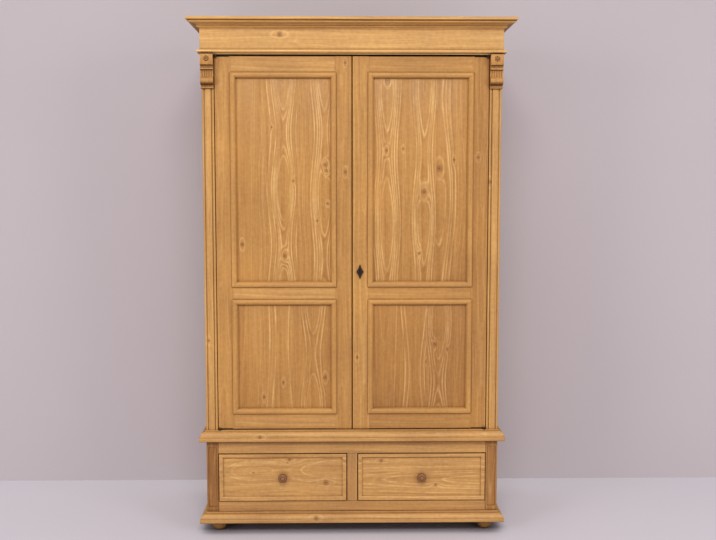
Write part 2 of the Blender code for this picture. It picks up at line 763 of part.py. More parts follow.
door_pivots = {}
for side, sign in SIDES:
    door_x = (sign * DOOR_INNER, sign * DOOR_OUTER)
    opening_x = (sign * (DOOR_INNER + STILE), sign * (DOOR_OUTER - STILE))
    frame = board(f"{side}_door_frame", door_x, (DOOR_FRONT, DOOR_BACK), (DOOR_BOTTOM, DOOR_TOP))
    panel_y = (DOOR_FRONT + PANEL_SETBACK, DOOR_FRONT + PANEL_SETBACK + PANEL_THICKNESS)
    pieces = [frame]
    for level, opening_z in door_openings().items():
        through = box(
            f"{side}_{level}_opening",
            opening_x,
            (DOOR_FRONT - OVER, DOOR_BACK + OVER),
            opening_z,
        )
        groove = box(
            f"{side}_{level}_groove",
            (opening_x[0] - sign * GROOVE_DEPTH, opening_x[1] + sign * GROOVE_DEPTH),
            (panel_y[0] - SEAT, panel_y[1] + SEAT),
            (opening_z[0] - GROOVE_DEPTH, opening_z[1] + GROOVE_DEPTH),
        )
        cut(frame, through, groove)
        panel = board(
            f"{side}_door_panel_{level}",
            (opening_x[0] - sign * PANEL_TONGUE, opening_x[1] + sign * PANEL_TONGUE),
            panel_y,
            (opening_z[0] - PANEL_TONGUE, opening_z[1] + PANEL_TONGUE),
        )
        pieces += [panel, panel_moulding(f"{side}_door_moulding_{level}", opening_x, opening_z)]

    # Each leaf lies along the door's end. The case leaf's thickness sets the gap there
    pin_radius = PIN_RADIUS + PIN_CLEARANCE
    for end, up, door_edge, case_face in (
        ("bottom", 1, DOOR_BOTTOM, Z_CASE),
        ("top", -1, DOOR_TOP, Z_FRIEZE),
    ):
        door_leaf = extruded(
            f"{side}_hinge_{end}_door_leaf",
            leaf_outline(sign),
            2,
            door_edge,
            door_edge + up * DOOR_LEAF_THICKNESS,
            IRON,
        )
        axis = (sign * HINGE_X, HINGE_Y)
        eye = rod(
            f"{side}_{end}_eye",
            pin_radius,
            (*axis, min(door_edge, door_edge + up * DOOR_LEAF_THICKNESS) - OVER),
            DOOR_LEAF_THICKNESS + 2 * OVER,
        )
        cut(door_leaf, eye)
        recess = extruded(
            f"{side}_{end}_leaf_recess",
            leaf_outline(sign, SEAT),
            2,
            door_edge - up * OVER,
            door_edge + up * (DOOR_LEAF_THICKNESS + SEAT),
        )
        cut(frame, recess)
        pieces.append(door_leaf)
        case_leaf = extruded(
            f"{side}_hinge_{end}_case_leaf",
            leaf_outline(sign),
            2,
            case_face + up * SEAT,
            door_edge - up * SEAT,
            IRON,
        )
        pin_levels = sorted((case_face + up * 2 * SEAT, door_edge + up * DOOR_LEAF_THICKNESS))
        pin = rod(f"{side}_{end}_pin", PIN_RADIUS, (*axis, pin_levels[0]), pin_levels[1] - pin_levels[0])
        fuse(case_leaf, pin)
    door_pivots[side] = pivot(f"{side}_door_pivot", (sign * HINGE_X, HINGE_Y, DOOR_BOTTOM))
    hang(door_pivots[side], *pieces)


# Lock: a cut lock let into the back of the right door's meeting stile, and its keyhole plate
frame = wardrobe.objects["right_door_frame"]
lock_x = (DOOR_INNER + SEAT, DOOR_INNER + SEAT + LOCK_WIDTH)
lock_y = (DOOR_BACK - LOCK_THICKNESS, DOOR_BACK)
lock_z = (LOCK_HEIGHT - LOCK_CASE_HEIGHT / 2, LOCK_HEIGHT + LOCK_CASE_HEIGHT / 2)
lock_recess = box(
    "lock_recess",
    (DOOR_INNER - OVER, lock_x[1] + SEAT),
    (lock_y[0] - SEAT, DOOR_BACK + OVER),
    (lock_z[0] - SEAT, lock_z[1] + SEAT),
)
keyhole_z = (LOCK_HEIGHT - KEYHOLE_DROP, LOCK_HEIGHT + KEYHOLE_RISE)
keyhole_bore = box(
    "keyhole_bore",
    (KEYHOLE_X - KEYHOLE_RADIUS, KEYHOLE_X + KEYHOLE_RADIUS),
    (DOOR_FRONT - OVER, lock_y[0] + OVER),
    (keyhole_z[0], keyhole_z[1] + KEYHOLE_RADIUS),
)
cut(frame, lock_recess, keyhole_bore)
lock_case = board("lock_case", lock_x, lock_y, lock_z, IRON)
bolt_middle_y = sum(lock_y) / 2
bolt_y = (bolt_middle_y - LOCK_BOLT_THICKNESS / 2, bolt_middle_y + LOCK_BOLT_THICKNESS / 2)
bolt_low = LOCK_HEIGHT + LOCK_BOLT_RISE - LOCK_BOLT_HEIGHT / 2
bolt_z = (bolt_low, bolt_low + LOCK_BOLT_HEIGHT)
bolt_channel = box(
    "lock_bolt_channel",
    (DOOR_INNER - OVER, lock_x[0] + LOCK_BOLT_LENGTH + SEAT),
    (bolt_y[0] - SEAT, bolt_y[1] + SEAT),
    (bolt_z[0] - SEAT, bolt_z[1] + SEAT),
)
key_pocket = rod(
    "lock_key_pocket",
    KEYHOLE_RADIUS,
    (KEYHOLE_X, lock_y[0] + KEYHOLE_DEPTH, LOCK_HEIGHT),
    KEYHOLE_DEPTH + OVER,
    TO_THE_FRONT,
)
cut(lock_case, bolt_channel, key_pocket)
lock_bolt = box("lock_bolt", (lock_x[0], lock_x[0] + LOCK_BOLT_LENGTH), bolt_y, bolt_z, IRON)
ease(lock_bolt, 0.0008)
bolt_mortise = box(
    "lock_bolt_mortise",
    (-DOOR_INNER + OVER, lock_x[0] - LOCK_BOLT_TRAVEL - 2 * BOLT_TOP_GAP),
    (bolt_y[0] - 2 * SEAT, bolt_y[1] + 2 * SEAT),
    (bolt_z[0] - 2 * SEAT, bolt_z[1] + 2 * SEAT),
)
cut(wardrobe.objects["left_door_frame"], bolt_mortise)

plate_half = ESCUTCHEON_WIDTH / 2
plate_tall = ESCUTCHEON_HEIGHT / 2
plate_outline = [
    (KEYHOLE_X + plate_half * across, LOCK_HEIGHT + plate_tall * up)
    for across, up in ((1, 0), (0.42, 0.45), (0, 1), (-0.42, 0.45), (-1, 0), (-0.42, -0.45), (0, -1), (0.42, -0.45))
]
escutcheon = extruded(
    "escutcheon",
    plate_outline,
    1,
    DOOR_FRONT - SEAT - ESCUTCHEON_THICKNESS,
    DOOR_FRONT - SEAT,
    IRON,
)
ease(escutcheon, 0.0006)
key_round = rod(
    "escutcheon_key_hole",
    KEYHOLE_RADIUS,
    (KEYHOLE_X, DOOR_FRONT + OVER, LOCK_HEIGHT + KEYHOLE_RISE),
    ESCUTCHEON_THICKNESS + 2 * OVER,
    TO_THE_FRONT,
)
key_slot = box(
    "escutcheon_key_slot",
    (KEYHOLE_X - KEYHOLE_SLOT / 2, KEYHOLE_X + KEYHOLE_SLOT / 2),
    (DOOR_FRONT + OVER, DOOR_FRONT - ESCUTCHEON_THICKNESS - OVER),
    (keyhole_z[0], LOCK_HEIGHT + KEYHOLE_RISE),
)
cut(escutcheon, key_round, key_slot)
lock_origin = pivot("lock_bolt_slide", (lock_x[0], bolt_middle_y, sum(bolt_z) / 2))
hang(lock_origin, lock_bolt)
hang(door_pivots["right"], lock_case, escutcheon, lock_origin)


# Bolt inside the left door: a round bar in two guides, which rises into the roof
plate_top = ROOF_UNDERSIDE - BOLT_TOP_GAP - 0.010
plate_z = (plate_top - BOLT_PLATE_HEIGHT, plate_top)
plate_y = (DOOR_BACK + SEAT, DOOR_BACK + SEAT + BOLT_PLATE_THICKNESS)
bolt_plate = box(
    "door_bolt_plate",
    (BOLT_X - BOLT_PLATE_WIDTH / 2, BOLT_X + BOLT_PLATE_WIDTH / 2),
    plate_y,
    plate_z,
    IRON,
)
guide_back = BOLT_Y + BOLT_RADIUS + 0.0035
for end, low in (("upper", plate_z[1] - BOLT_GUIDE_HEIGHT - 0.004), ("lower", plate_z[0] + 0.004)):
    guide = box(
        f"bolt_guide_{end}",
        (BOLT_X - BOLT_GUIDE_WIDTH / 2, BOLT_X + BOLT_GUIDE_WIDTH / 2),
        (plate_y[0] + SEAT, guide_back),
        (low, low + BOLT_GUIDE_HEIGHT),
    )
    fuse(bolt_plate, guide)
bolt_top = ROOF_UNDERSIDE - BOLT_TOP_GAP
bolt_bottom = bolt_top - BOLT_LENGTH
bolt_bore = rod(
    "bolt_guide_bore",
    BOLT_RADIUS + BOLT_PLAY,
    (BOLT_X, BOLT_Y, plate_z[0] - OVER),
    BOLT_PLATE_HEIGHT + 2 * OVER,
)
cut(bolt_plate, bolt_bore)
door_bolt = rod("door_bolt", BOLT_RADIUS, (BOLT_X, BOLT_Y, bolt_bottom), BOLT_LENGTH, look=IRON)
grip = rod(
    "bolt_grip",
    BOLT_GRIP_RADIUS,
    (BOLT_X, BOLT_Y + BOLT_GRIP_LENGTH, sum(plate_z) / 2 - BOLT_TRAVEL / 2),
    BOLT_GRIP_LENGTH,
    TO_THE_FRONT,
)
fuse(door_bolt, grip)
bolt_origin = pivot("door_bolt_slide", (BOLT_X, BOLT_Y, bolt_bottom))
hang(bolt_origin, door_bolt)
hang(door_pivots["left"], bolt_plate, bolt_origin)


# Drawers: a front with a raised border, lapped dovetails at its ends, and a turned knob
def sink_field(obj):
    """Insets the front face: a flat border, a rounded slope down to the field, and a quirk."""
    bm = bmesh.new()
    bm.from_mesh(obj.data)
    field = min(bm.faces, key=lambda face: face.calc_center_median().y)
    bmesh.ops.inset_region(bm, faces=[field], thickness=DRAWER_BORDER_FLAT, depth=0)
    slope = arc((0, 0), (DRAWER_BORDER_SLOPE, DRAWER_FIELD_DEPTH - 0.001), 90, 0, 5)
    for (near, high), (far, low) in zip(slope, slope[1:]):
        bmesh.ops.inset_region(bm, faces=[field], thickness=far - near, depth=low - high)
    bmesh.ops.inset_region(bm, faces=[field], thickness=0.0008, depth=-0.001)
    bm.to_mesh(obj.data)
    bm.free()


front_z = (Z_DECK + DRAWER_GAP, Z_TOP_RAIL - DRAWER_GAP)
side_z = (Z_DECK + RUNNING_GAP, front_z[1] - DRAWER_SIDE_DROP)
tail_first = front_z[0] + TAIL_MARGIN
tail_pitch = (side_z[1] - TAIL_MARGIN - tail_first) / TAIL_COUNT
field_y = DRAWER_FACE + DRAWER_FIELD_DEPTH
knob_profile = [
    (0, KNOB_LENGTH),
    (KNOB_RADIUS * 0.30, KNOB_LENGTH - 0.0004),
    (KNOB_RADIUS * 0.42, KNOB_LENGTH - 0.0022),
    *arc((KNOB_RADIUS * 0.52, KNOB_LENGTH - 0.0095), (KNOB_RADIUS * 0.48, 0.0075), 85, -75, 10),
    *arc((KNOB_NECK_RADIUS + 0.0055, 0.0078), (0.0055, 0.0048), 100, 235, 6),
    (KNOB_NECK_RADIUS + 0.0035, 0.0024),
    (KNOB_NECK_RADIUS + 0.0035, 0.0006),
    (KNOB_NECK_RADIUS + 0.0029, SEAT),
    (KNOB_SPIGOT_RADIUS, SEAT),
    (KNOB_SPIGOT_RADIUS, -KNOB_SPIGOT_LENGTH),
    (0, -KNOB_SPIGOT_LENGTH),
]
for side, sign in SIDES:
    near, far = sign * drawer_near, sign * drawer_far
    front = box(f"{side}_drawer_front", (near, far), (DRAWER_FACE, DRAWER_BACK_FACE), front_z, PINE)
    sink_field(front)
    ease(front)
    walls = []
    sockets = []
    for wall, outer, inward in (("near", near, sign), ("far", far, -sign)):
        inner = outer + inward * DRAWER_SIDE
        outline = drawer_side_outline(*side_z, tail_first, tail_pitch)
        walls.append(extruded(f"{side}_drawer_{wall}_wall", outline, 0, outer, inner))
        for number in range(TAIL_COUNT):
            centre = tail_first + (number + 0.5) * tail_pitch
            sockets.append(
                extruded(
                    f"{side}_drawer_{wall}_socket_{number}",
                    tail_outline(centre, tail_pitch, SEAT, OVER),
                    0,
                    outer - inward * OVER,
                    inner + inward * SEAT,
                )
            )
    middle = (near + far) / 2
    knob_height = sum(front_z) / 2
    spigot_hole = rod(
        f"{side}_knob_hole",
        KNOB_SPIGOT_RADIUS + SEAT,
        (middle, field_y + KNOB_SPIGOT_LENGTH + SEAT, knob_height),
        KNOB_SPIGOT_LENGTH + DRAWER_FIELD_DEPTH,
        TO_THE_FRONT,
    )
    cut(front, *sockets, spigot_hole)

    inner_x = (near + sign * DRAWER_SIDE / 2, far - sign * DRAWER_SIDE / 2)
    plate_low = side_z[0] + DRAWER_BOTTOM_RISE
    bottom = box(
        f"{side}_drawer_bottom",
        inner_x,
        (DRAWER_BACK_FACE + SEAT, DRAWER_END - DRAWER_SIDE / 2),
        (plate_low, plate_low + DRAWER_BOTTOM),
    )
    back = box(
        f"{side}_drawer_back",
        inner_x,
        (DRAWER_END - 1.5 * DRAWER_SIDE, DRAWER_END - DRAWER_SIDE / 2),
        (plate_low + DRAWER_BOTTOM / 2, side_z[1] - DRAWER_BACK_DROP),
    )
    tray = extruded(f"{side}_drawer_box", outline, 0, near, near + sign * DRAWER_SIDE, PINE_INSIDE)
    fuse(tray, walls[1], bottom, back)
    knob = turned(f"{side}_drawer_knob", knob_profile, (middle, field_y, knob_height), PINE_KNOB)
    knob.rotation_euler = TO_THE_FRONT
    slide = pivot(f"{side}_drawer_slide", (middle, DRAWER_FACE, Z_DECK))
    hang(slide, front, tray, knob)
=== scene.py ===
import math

import bpy
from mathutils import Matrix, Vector


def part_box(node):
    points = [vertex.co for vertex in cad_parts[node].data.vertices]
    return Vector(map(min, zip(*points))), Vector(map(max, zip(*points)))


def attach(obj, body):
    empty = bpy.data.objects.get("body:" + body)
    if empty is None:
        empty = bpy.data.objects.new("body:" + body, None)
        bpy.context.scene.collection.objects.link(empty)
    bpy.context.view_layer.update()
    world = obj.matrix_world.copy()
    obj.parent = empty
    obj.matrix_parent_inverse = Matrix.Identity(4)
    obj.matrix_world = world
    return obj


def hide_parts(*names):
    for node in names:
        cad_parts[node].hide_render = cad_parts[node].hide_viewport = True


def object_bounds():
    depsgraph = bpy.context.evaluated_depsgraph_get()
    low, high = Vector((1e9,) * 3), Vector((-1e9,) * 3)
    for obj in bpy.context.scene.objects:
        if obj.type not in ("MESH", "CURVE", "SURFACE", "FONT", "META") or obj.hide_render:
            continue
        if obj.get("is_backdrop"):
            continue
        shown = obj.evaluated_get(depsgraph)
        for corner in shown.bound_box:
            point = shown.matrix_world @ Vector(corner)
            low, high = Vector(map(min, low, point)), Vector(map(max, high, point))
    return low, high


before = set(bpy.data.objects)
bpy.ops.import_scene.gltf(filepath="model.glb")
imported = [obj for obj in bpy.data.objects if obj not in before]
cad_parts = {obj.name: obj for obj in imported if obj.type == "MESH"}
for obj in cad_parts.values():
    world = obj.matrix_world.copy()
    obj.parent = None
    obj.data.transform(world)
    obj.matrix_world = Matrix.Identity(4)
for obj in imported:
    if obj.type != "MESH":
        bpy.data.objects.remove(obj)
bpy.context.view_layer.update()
bpy.ops.object.select_all(action="DESELECT")
scene = bpy.context.scene
scene.view_settings.view_transform = "Standard"


# The camera stands nearly four metres in front of the wardrobe, a little left of its middle and at a
# person's chest height, and looks slightly downwards, with a 49 mm lens on 36 mm film.
CAMERA_AT = (-0.038, -4.116, 1.409)
CAMERA_LENS = 48.8
CAMERA_DOWN = math.radians(4.96)
CAMERA_RIGHT = math.radians(0.91)

bpy.ops.object.camera_add(location=CAMERA_AT, rotation=(math.radians(90) - CAMERA_DOWN, 0, -CAMERA_RIGHT))
scene.camera = bpy.context.object
scene.camera.data.lens = CAMERA_LENS
scene.camera.data.sensor_width = 36


# Feet: four bun feet of waxed pine, 62 mm across. Each is turned on a lathe from one block, so that the grain
# stands upright in it, and sits on a dowel glued into the plinth's frame.
FOOT_RADIUS, FOOT_NECK, FOOT_SOLE, FOOT_SHOULDER, FOOT_COLLAR = 0.031, 0.021, 0.009, 0.033, 0.003

# All the wood is pine, waxed a honey colour. Every piece is its own cut from a log: the growth rings are
# cylinders round the pith, which runs along the piece behind its face and leans a little
PALE = (0.8, 0.51, 0.21)
MIDDLE = (0.47, 0.235, 0.067)
DARK = (0.35, 0.15, 0.036)
KNOT = (0.12, 0.044, 0.014)
BARK = (0.27, 0.1, 0.03)
GRAIN_TURN = {"X": (0, math.radians(90), 0), "Y": (math.radians(-90), 0, 0), "Z": (0, 0, 0)}
ROUND_KNOT = (1.0, 0.0, 1.0)
KNOT_EDDY = {"X": (0.42, 0.0, 1.0), "Y": (1.0, 0.0, 1.0), "Z": (1.0, 0.0, 0.42)}
OTHER_LOG = (0.05, 0.1, 2.0)
RING_LINE, STRONG_LINE = 0.006, 0.0026


class Value:
    """An output of a material's node. Sums on it are written like sums on numbers."""

    def __init__(self, socket):
        self.socket = socket
        self.tree = socket.id_data

    def twin(self, output):
        """Another output of the same node."""
        return Value(self.socket.node.outputs[output])

    def part(self, axis):
        """Its X, Y or Z."""
        return node(self.tree, "SeparateXYZ", {0: self}, axis)

    def clamped(self, slope, start=0.0):
        """Itself times a slope and from a start, held between 0 and 1."""
        inputs = {0: self, 1: slope, 2: start}
        return node(self.tree, "Math", inputs, operation="MULTIPLY_ADD", use_clamp=True)

    def __add__(self, other):
        return reckon("ADD", self, other)

    def __sub__(self, other):
        return reckon("SUBTRACT", self, other)

    def __rsub__(self, other):
        return reckon("SUBTRACT", other, self)

    def __mul__(self, other):
        return reckon("MULTIPLY", self, other)

    def __truediv__(self, other):
        return reckon("DIVIDE", self, other)


def feed(made, inputs):
    """Sets the inputs of a node, or links those that are Values."""
    for key, given in inputs.items():
        if isinstance(given, Value):
            given.tree.links.new(given.socket, made.inputs[key])
        else:
            made.inputs[key].default_value = given


def node(tree, kind, inputs, output=0, **settings):
    """One output of a new node."""
    made = tree.nodes.new("ShaderNode" + kind)
    for key, setting in settings.items():
        setattr(made, key, setting)
    feed(made, inputs)
    return Value(made.outputs[output])


def reckon(operation, *givens):
    """One sum on numbers or on vectors, at least one of them a Value."""
    known = next(given for given in givens if isinstance(given, Value))
    kind = "Math" if known.socket.type == "VALUE" else "VectorMath"
    output = 1 if operation in ("LENGTH", "DOT_PRODUCT") else 0
    return node(known.tree, kind, dict(enumerate(givens)), output, operation=operation)


def noise(at, scale, detail=2.0, rough=0.55, output=0):
    """Noise at a place that is scaled along its three axes."""
    inputs = {"Vector": at * scale, "Scale": 1.0, "Detail": detail, "Roughness": rough}
    return node(at.tree, "TexNoise", inputs, output)


def mix(share, first, second, kind="MIX"):
    """A mix of two colours, at least one of the three a Value."""
    known = next(given for given in (share, first, second) if isinstance(given, Value))
    pair = [given if isinstance(given, Value) else (*given, 1.0) for given in (first, second)]
    return node(known.tree, "Mix", {0: share, 6: pair[0], 7: pair[1]}, 2, data_type="RGBA", blend_type=kind)


def ramp(value, *stops):
    """A colour ramp with (place, colour) stops."""
    made = node(value.tree, "ValToRGB", {0: value})
    elements = made.socket.node.color_ramp.elements
    while len(elements) < len(stops):
        elements.new(0.5)
    for element, (place, colour) in zip(elements, stops):
        element.position = place
        element.color = (*colour, 1.0)
    return made


def bell(value):
    """1 where the value is 0, and falling away smoothly on both sides."""
    return reckon("EXPONENT", value * value * -1.0)


def new_material(name, metallic=0.0):
    """A material, its nodes, and the coordinates of the piece."""
    made = bpy.data.materials.new(name)
    made.use_nodes = True
    tree = made.node_tree
    feed(tree.nodes["Principled BSDF"], {"Metallic": metallic, "Specular IOR Level": 0.25})
    return made, tree, node(tree, "TexCoord", {}, "Object")


def coat(made, colour, roughness, relief=None, strength=0.0, depth=0.0):
    """Gives a material its colour, its roughness, and a fine relief with a strength and a depth."""
    shader = made.node_tree.nodes["Principled BSDF"]
    feed(shader, {"Base Color": colour, "Roughness": roughness})
    if relief:
        bump = {"Strength": strength, "Distance": depth, "Height": relief}
        feed(shader, {"Normal": node(made.node_tree, "Bump", bump)})
    return Value(shader.outputs[0])


def pine(name, grain, pith, lean=0.0, ring=0.0055, tone=1.0, warm=0.0, knots=(), stray=0.04, rough=0.45,
        figure=0.5, wave=None, lines=(), soil=0.8, pale=0.0, boards=None):
    """Waxed pine with its grain along X, Y or Z, its pith through a point, and rings as strong as its figure.

    Knots are (x, z, radius) on the front. A wave, (place, length, depth), swells the rings along the grain.
    Lines are the distances from the pith of the rings that show strongly. Boards, as (first edge, width), are
    glued side by side across X. The soil setting darkens corners and recesses, partly with old wax and dust
    and partly as painted shade, and darkens what faces down as painted shade. Pale is how far the wood is
    bleached.
    """
    made, tree, place = new_material(name)
    cut_at = place
    if boards:
        first_edge, board_width = boards
        number = reckon("FLOOR", (place.part("X") - first_edge) / board_width)
        chance = node(tree, "TexWhiteNoise", {"W": number}, noise_dimensions="1D")
        cut_at = place + chance.twin("Color") * OTHER_LOG
        tone = chance * (0.16 * tone) + 0.92 * tone
    turn = list(GRAIN_TURN[grain])
    turn[2 if grain == "Y" else 0] += math.radians(lean)
    log = node(tree, "Mapping", {0: cut_at, 1: pith, 2: turn}, vector_type="TEXTURE")
    # The pith wanders, and a knot pushes the rings aside. Its heart, its bark and the pale ring in the eddy
    # round it lie at so many times its radius
    wander = noise(log, (4.0, 4.0, 1.5), output="Color") - (0.5, 0.5, 0.5)
    log = log + wander * (stray, stray, 0.0)
    across = log * (1.0, 1.0, 0.0)
    reach = reckon("LENGTH", across)
    if wave:
        crest, wave_length, depth = wave
        swell = reckon("COSINE", (place.part(grain) - crest) * (2 * math.pi / wave_length))
        reach = swell * depth + reach
    heart = bark = halo = 0.0
    for x, z, radius in knots:
        away = place - (x, 0.0, z)
        far = reckon("LENGTH", away * ROUND_KNOT)
        eddy = reckon("LENGTH", away * KNOT_EDDY[grain])
        reach = bell(eddy / (2.4 * radius)) * (2.2 * radius) + reach
        heart = reckon("MAXIMUM", heart, 1.3 - far / (radius / 1.3))
        bark = reckon("MAXIMUM", bark, bell((far - 1.15 * radius) / (0.45 * radius)))
        halo = reckon("MAXIMUM", halo, bell((eddy - 2.0 * radius) / (0.35 * radius)))
    # Growth rings of unlike width and strength: even wood that darkens outwards, then a pale line. The line
    # is no wider where the face runs along the rings than where it crosses them
    normal = node(tree, "NewGeometry", {}, "Normal")
    facing = node(tree, "Mapping", {0: normal, 2: turn}, vector_type="TEXTURE")
    along = reckon("DOT_PRODUCT", reckon("NORMALIZE", across), facing)
    crossing = reckon("SQRT", 1.02 - along * along)
    count = reach / ring
    years = node(tree, "TexNoise", {"W": count, "Scale": 0.42, "Detail": 1.0}, noise_dimensions="1D")
    phase = reckon("FRACT", years * 4.0 + count)
    strength = years.twin("Color").part("Y").clamped(-3.2, 2.1) * figure
    line = (phase / reckon("MINIMUM", crossing * (RING_LINE / ring), 0.3)).clamped(-1.0, 1.0)
    shade = phase.clamped(2.6, -1.6) * (strength * 0.55)
    glow = reckon("SQRT", line) * strength
    # The strong rings fade in and out along the board
    fade = noise(place, (26.0, 1.0, 9.0)).clamped(2.6, -0.65)
    for edge in lines:
        off = (reach - edge) / (crossing * STRONG_LINE)
        glow = reckon("MAXIMUM", glow, bell(off) * fade)
        shade = reckon("MAXIMUM", shade, bell(off - 2.3) * fade)
    colour = mix(shade * 0.45, MIDDLE, DARK)
    colour = mix(reckon("MAXIMUM", glow * 0.6, halo * 0.32), colour, PALE)
    colour = mix(pale, colour, PALE)
    # Fine fibres, darker and lighter streaks along the grain, a mottle across it, and broad changes of tone.
    # Darker wood is redder
    fibre = noise(log, (560.0, 560.0, 8.0), rough=0.6)
    streak = noise(log, (75.0, 75.0, 1.6), detail=4.0, rough=0.75)
    mottle = noise(cut_at, (75.0, 75.0, 75.0))
    patch = noise(cut_at, (3.6, 3.6, 3.6))
    strong = 0.4 + 0.7 * figure
    light = (fibre * 0.22 + streak * strong + mottle * 0.3 + patch * 0.5 + (0.49 - strong / 2)) * tone
    deep = [reckon("POWER", light, power) for power in (1.0, 1.3, 1.4)]
    colour = mix(1.0, colour, node(tree, "CombineColor", dict(enumerate(deep))), "MULTIPLY")
    colour = mix(patch.clamped(1.4, warm - 0.6), colour, (0.98, 0.88, 0.76), "MULTIPLY")
    if knots:
        colour = mix(bark * 0.62, colour, BARK)
        colour = mix(heart.clamped(0.78), colour, KNOT)
    # Painted shade, with some old wax and dust: every inner corner is darkened, more faintly the wood round
    # it, and what faces down is darkened as painted shade only
    corner = node(tree, "AmbientOcclusion", {"Distance": 0.012}, "AO", samples=6)
    grime_and_shade = ramp(corner, (0.0, (0.02, 0.012, 0.008)), (0.35, (0.12, 0.07, 0.04)), (0.55, (0.42, 0.31, 0.22)),
        (0.75, (0.8, 0.71, 0.62)), (0.92, (1.0, 1.0, 1.0)))
    colour = mix(soil, colour, grime_and_shade, "MULTIPLY")
    recess = node(tree, "AmbientOcclusion", {"Distance": 0.05}, "AO", samples=6)
    patina_and_shade = ramp(recess, (0.1, (0.2, 0.14, 0.1)), (0.45, (0.66, 0.57, 0.49)), (0.85, (1.0, 1.0, 1.0)))
    colour = mix(soil, colour, patina_and_shade, "MULTIPLY")
    # Painted shade: faces that look down are darkened
    down = normal.part("Z").clamped(-1.8, -0.6)
    colour = mix(down * soil, colour, (0.16, 0.1, 0.07), "MULTIPLY")
    coat(made, colour, fibre * 0.24 + (rough - 0.12), phase * -0.3 + fibre, strength=0.25, depth=0.0005)
    return made


def settle(obj):
    """Turns a piece's faces outwards, leaves edit mode, and leaves the piece alone selected and active."""
    if bpy.context.mode != "OBJECT":
        bpy.ops.object.mode_set(mode="OBJECT")
    bpy.ops.object.select_all(action="DESELECT")
    if obj:
        obj.select_set(True)
        bpy.context.view_layer.objects.active = obj
        bpy.ops.object.mode_set(mode="EDIT")
        bpy.ops.mesh.select_all(action="SELECT")
        bpy.ops.mesh.normals_make_consistent()
        bpy.ops.object.mode_set(mode="OBJECT")


def trace(name, points):
    """A line drawn in edit mode, from one vertex on through the points."""
    settle(None)
    bpy.ops.mesh.primitive_plane_add(size=0.001, location=points[0])
    bpy.context.object.name = name
    bpy.ops.object.transform_apply()
    bpy.ops.object.mode_set(mode="EDIT")
    bpy.ops.mesh.merge(type="CENTER")
    for before, after in zip(points, points[1:]):
        step = Vector(after) - Vector(before)
        bpy.ops.mesh.extrude_vertices_move(TRANSFORM_OT_translate={"value": step})
    bpy.ops.mesh.select_all(action="SELECT")
    return bpy.context.object


def dress(obj, look, body, slot, *nodes, smooth=32):
    """Ends a piece: smooth faces, its finish, the body that it rides on and the nodes that it shows."""
    settle(obj)
    bpy.ops.object.shade_smooth_by_angle(angle=math.radians(smooth))
    obj.data.materials.clear()
    obj.data.materials.append(look)
    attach(obj, body)
    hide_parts(*nodes)


def arc(centre, radii, start, end, steps=10):
    """Points along an ellipse between two angles in degrees, both ends included."""
    angles = [math.radians(start + (end - start) * step / steps) for step in range(steps + 1)]
    return [(centre[0] + radii[0] * math.cos(a), centre[1] + radii[1] * math.sin(a)) for a in angles]


def middle_of(low, high):
    """The middle of a box."""
    return [(near + far) / 2 for near, far in zip(low, high)]


def turned(name, profile, foot, up=(0, 0, 1), steps=56):
    """A piece turned on the lathe: (radius, height) from its top to its foot, along the up direction."""
    foot, up = Vector(foot), Vector(up)
    side = Vector((1, 0, 0))
    obj = trace(name, [foot + side * radius + up * height for radius, height in profile])
    bpy.ops.mesh.spin(steps=steps, angle=2 * math.pi, center=foot, axis=up)
    bpy.ops.mesh.select_all(action="SELECT")
    bpy.ops.mesh.remove_doubles(threshold=0.00002)
    return obj


for end in ("front", "back"):
    for side in ("left", "right"):
        low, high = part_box(f"foot_{end}_{side}")
        x, y = middle_of(low, high)[:2]
        top = high[2]
        bulge = (FOOT_RADIUS - FOOT_NECK, top - 0.004 - FOOT_SHOULDER)
        foot = turned(f"bun_foot_{end}_{side}", [
            (0, top),
            (FOOT_NECK - 0.0008, top),
            (FOOT_NECK, top - 0.0006),
            (FOOT_NECK, top - FOOT_COLLAR),
            *arc((FOOT_NECK, FOOT_SHOULDER), bulge, 90, 0, 8),
            *arc((FOOT_SOLE, FOOT_SHOULDER), (FOOT_RADIUS - FOOT_SOLE, FOOT_SHOULDER), 0, -90, 14)[1:],
            (0, 0),
        ], (x, y, 0))
        look = pine(f"foot_pine_{end}_{side}", "Z", (x + 0.012, y + 0.018, 0), ring=0.0032, tone=0.9,
            warm=0.1, soil=0.35)
        dress(foot, look, "cabinet", "pine", f"foot_{end}_{side}")


# Base: a case of pine boards. The plinth is an ovolo moulding run with a plane along three boards and mitred
# at the front corners. Between the corner posts, which have a sunk panel, stand two rails and a divider.
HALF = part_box("pilaster_right")[1][0]
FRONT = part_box("pilaster_right")[0][1]
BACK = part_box("carcass_side_right")[1][1]
SIDES = (("left", -1), ("right", 1))
X_AXIS, Y_AXIS, Z_AXIS = Vector((1, 0, 0)), Vector((0, 1, 0)), Vector((0, 0, 1))
MITRE_LINE, MOULDING_END, LINED_THICKNESS = 0.00012, 0.08, 0.0345
SUNK_BORDER, SUNK_ENDS, SUNK_DROP, SUNK_DEPTH = 0.0053, 0.0335, 0.003, 0.003


def pulled(name, outline, step):
    """An outline filled and pulled along a step into a solid, left in edit mode."""
    obj = trace(name, outline)
    bpy.ops.mesh.edge_face_add()
    bpy.ops.mesh.extrude_region_move(TRANSFORM_OT_translate={"value": step})
    return obj


def board(name, low, high, ease=0.0012):
    """A planed board between two corners, its edges eased with sandpaper, left in edit mode."""
    low, high = Vector(low), Vector(high)
    settle(None)
    bpy.ops.mesh.primitive_cube_add(size=1, location=(low + high) / 2, scale=high - low)
    bpy.context.object.name = name
    bpy.ops.object.transform_apply()
    bpy.ops.object.mode_set(mode="EDIT")
    bpy.ops.mesh.bevel(offset=ease, segments=2, affect="EDGES")
    return bpy.context.object


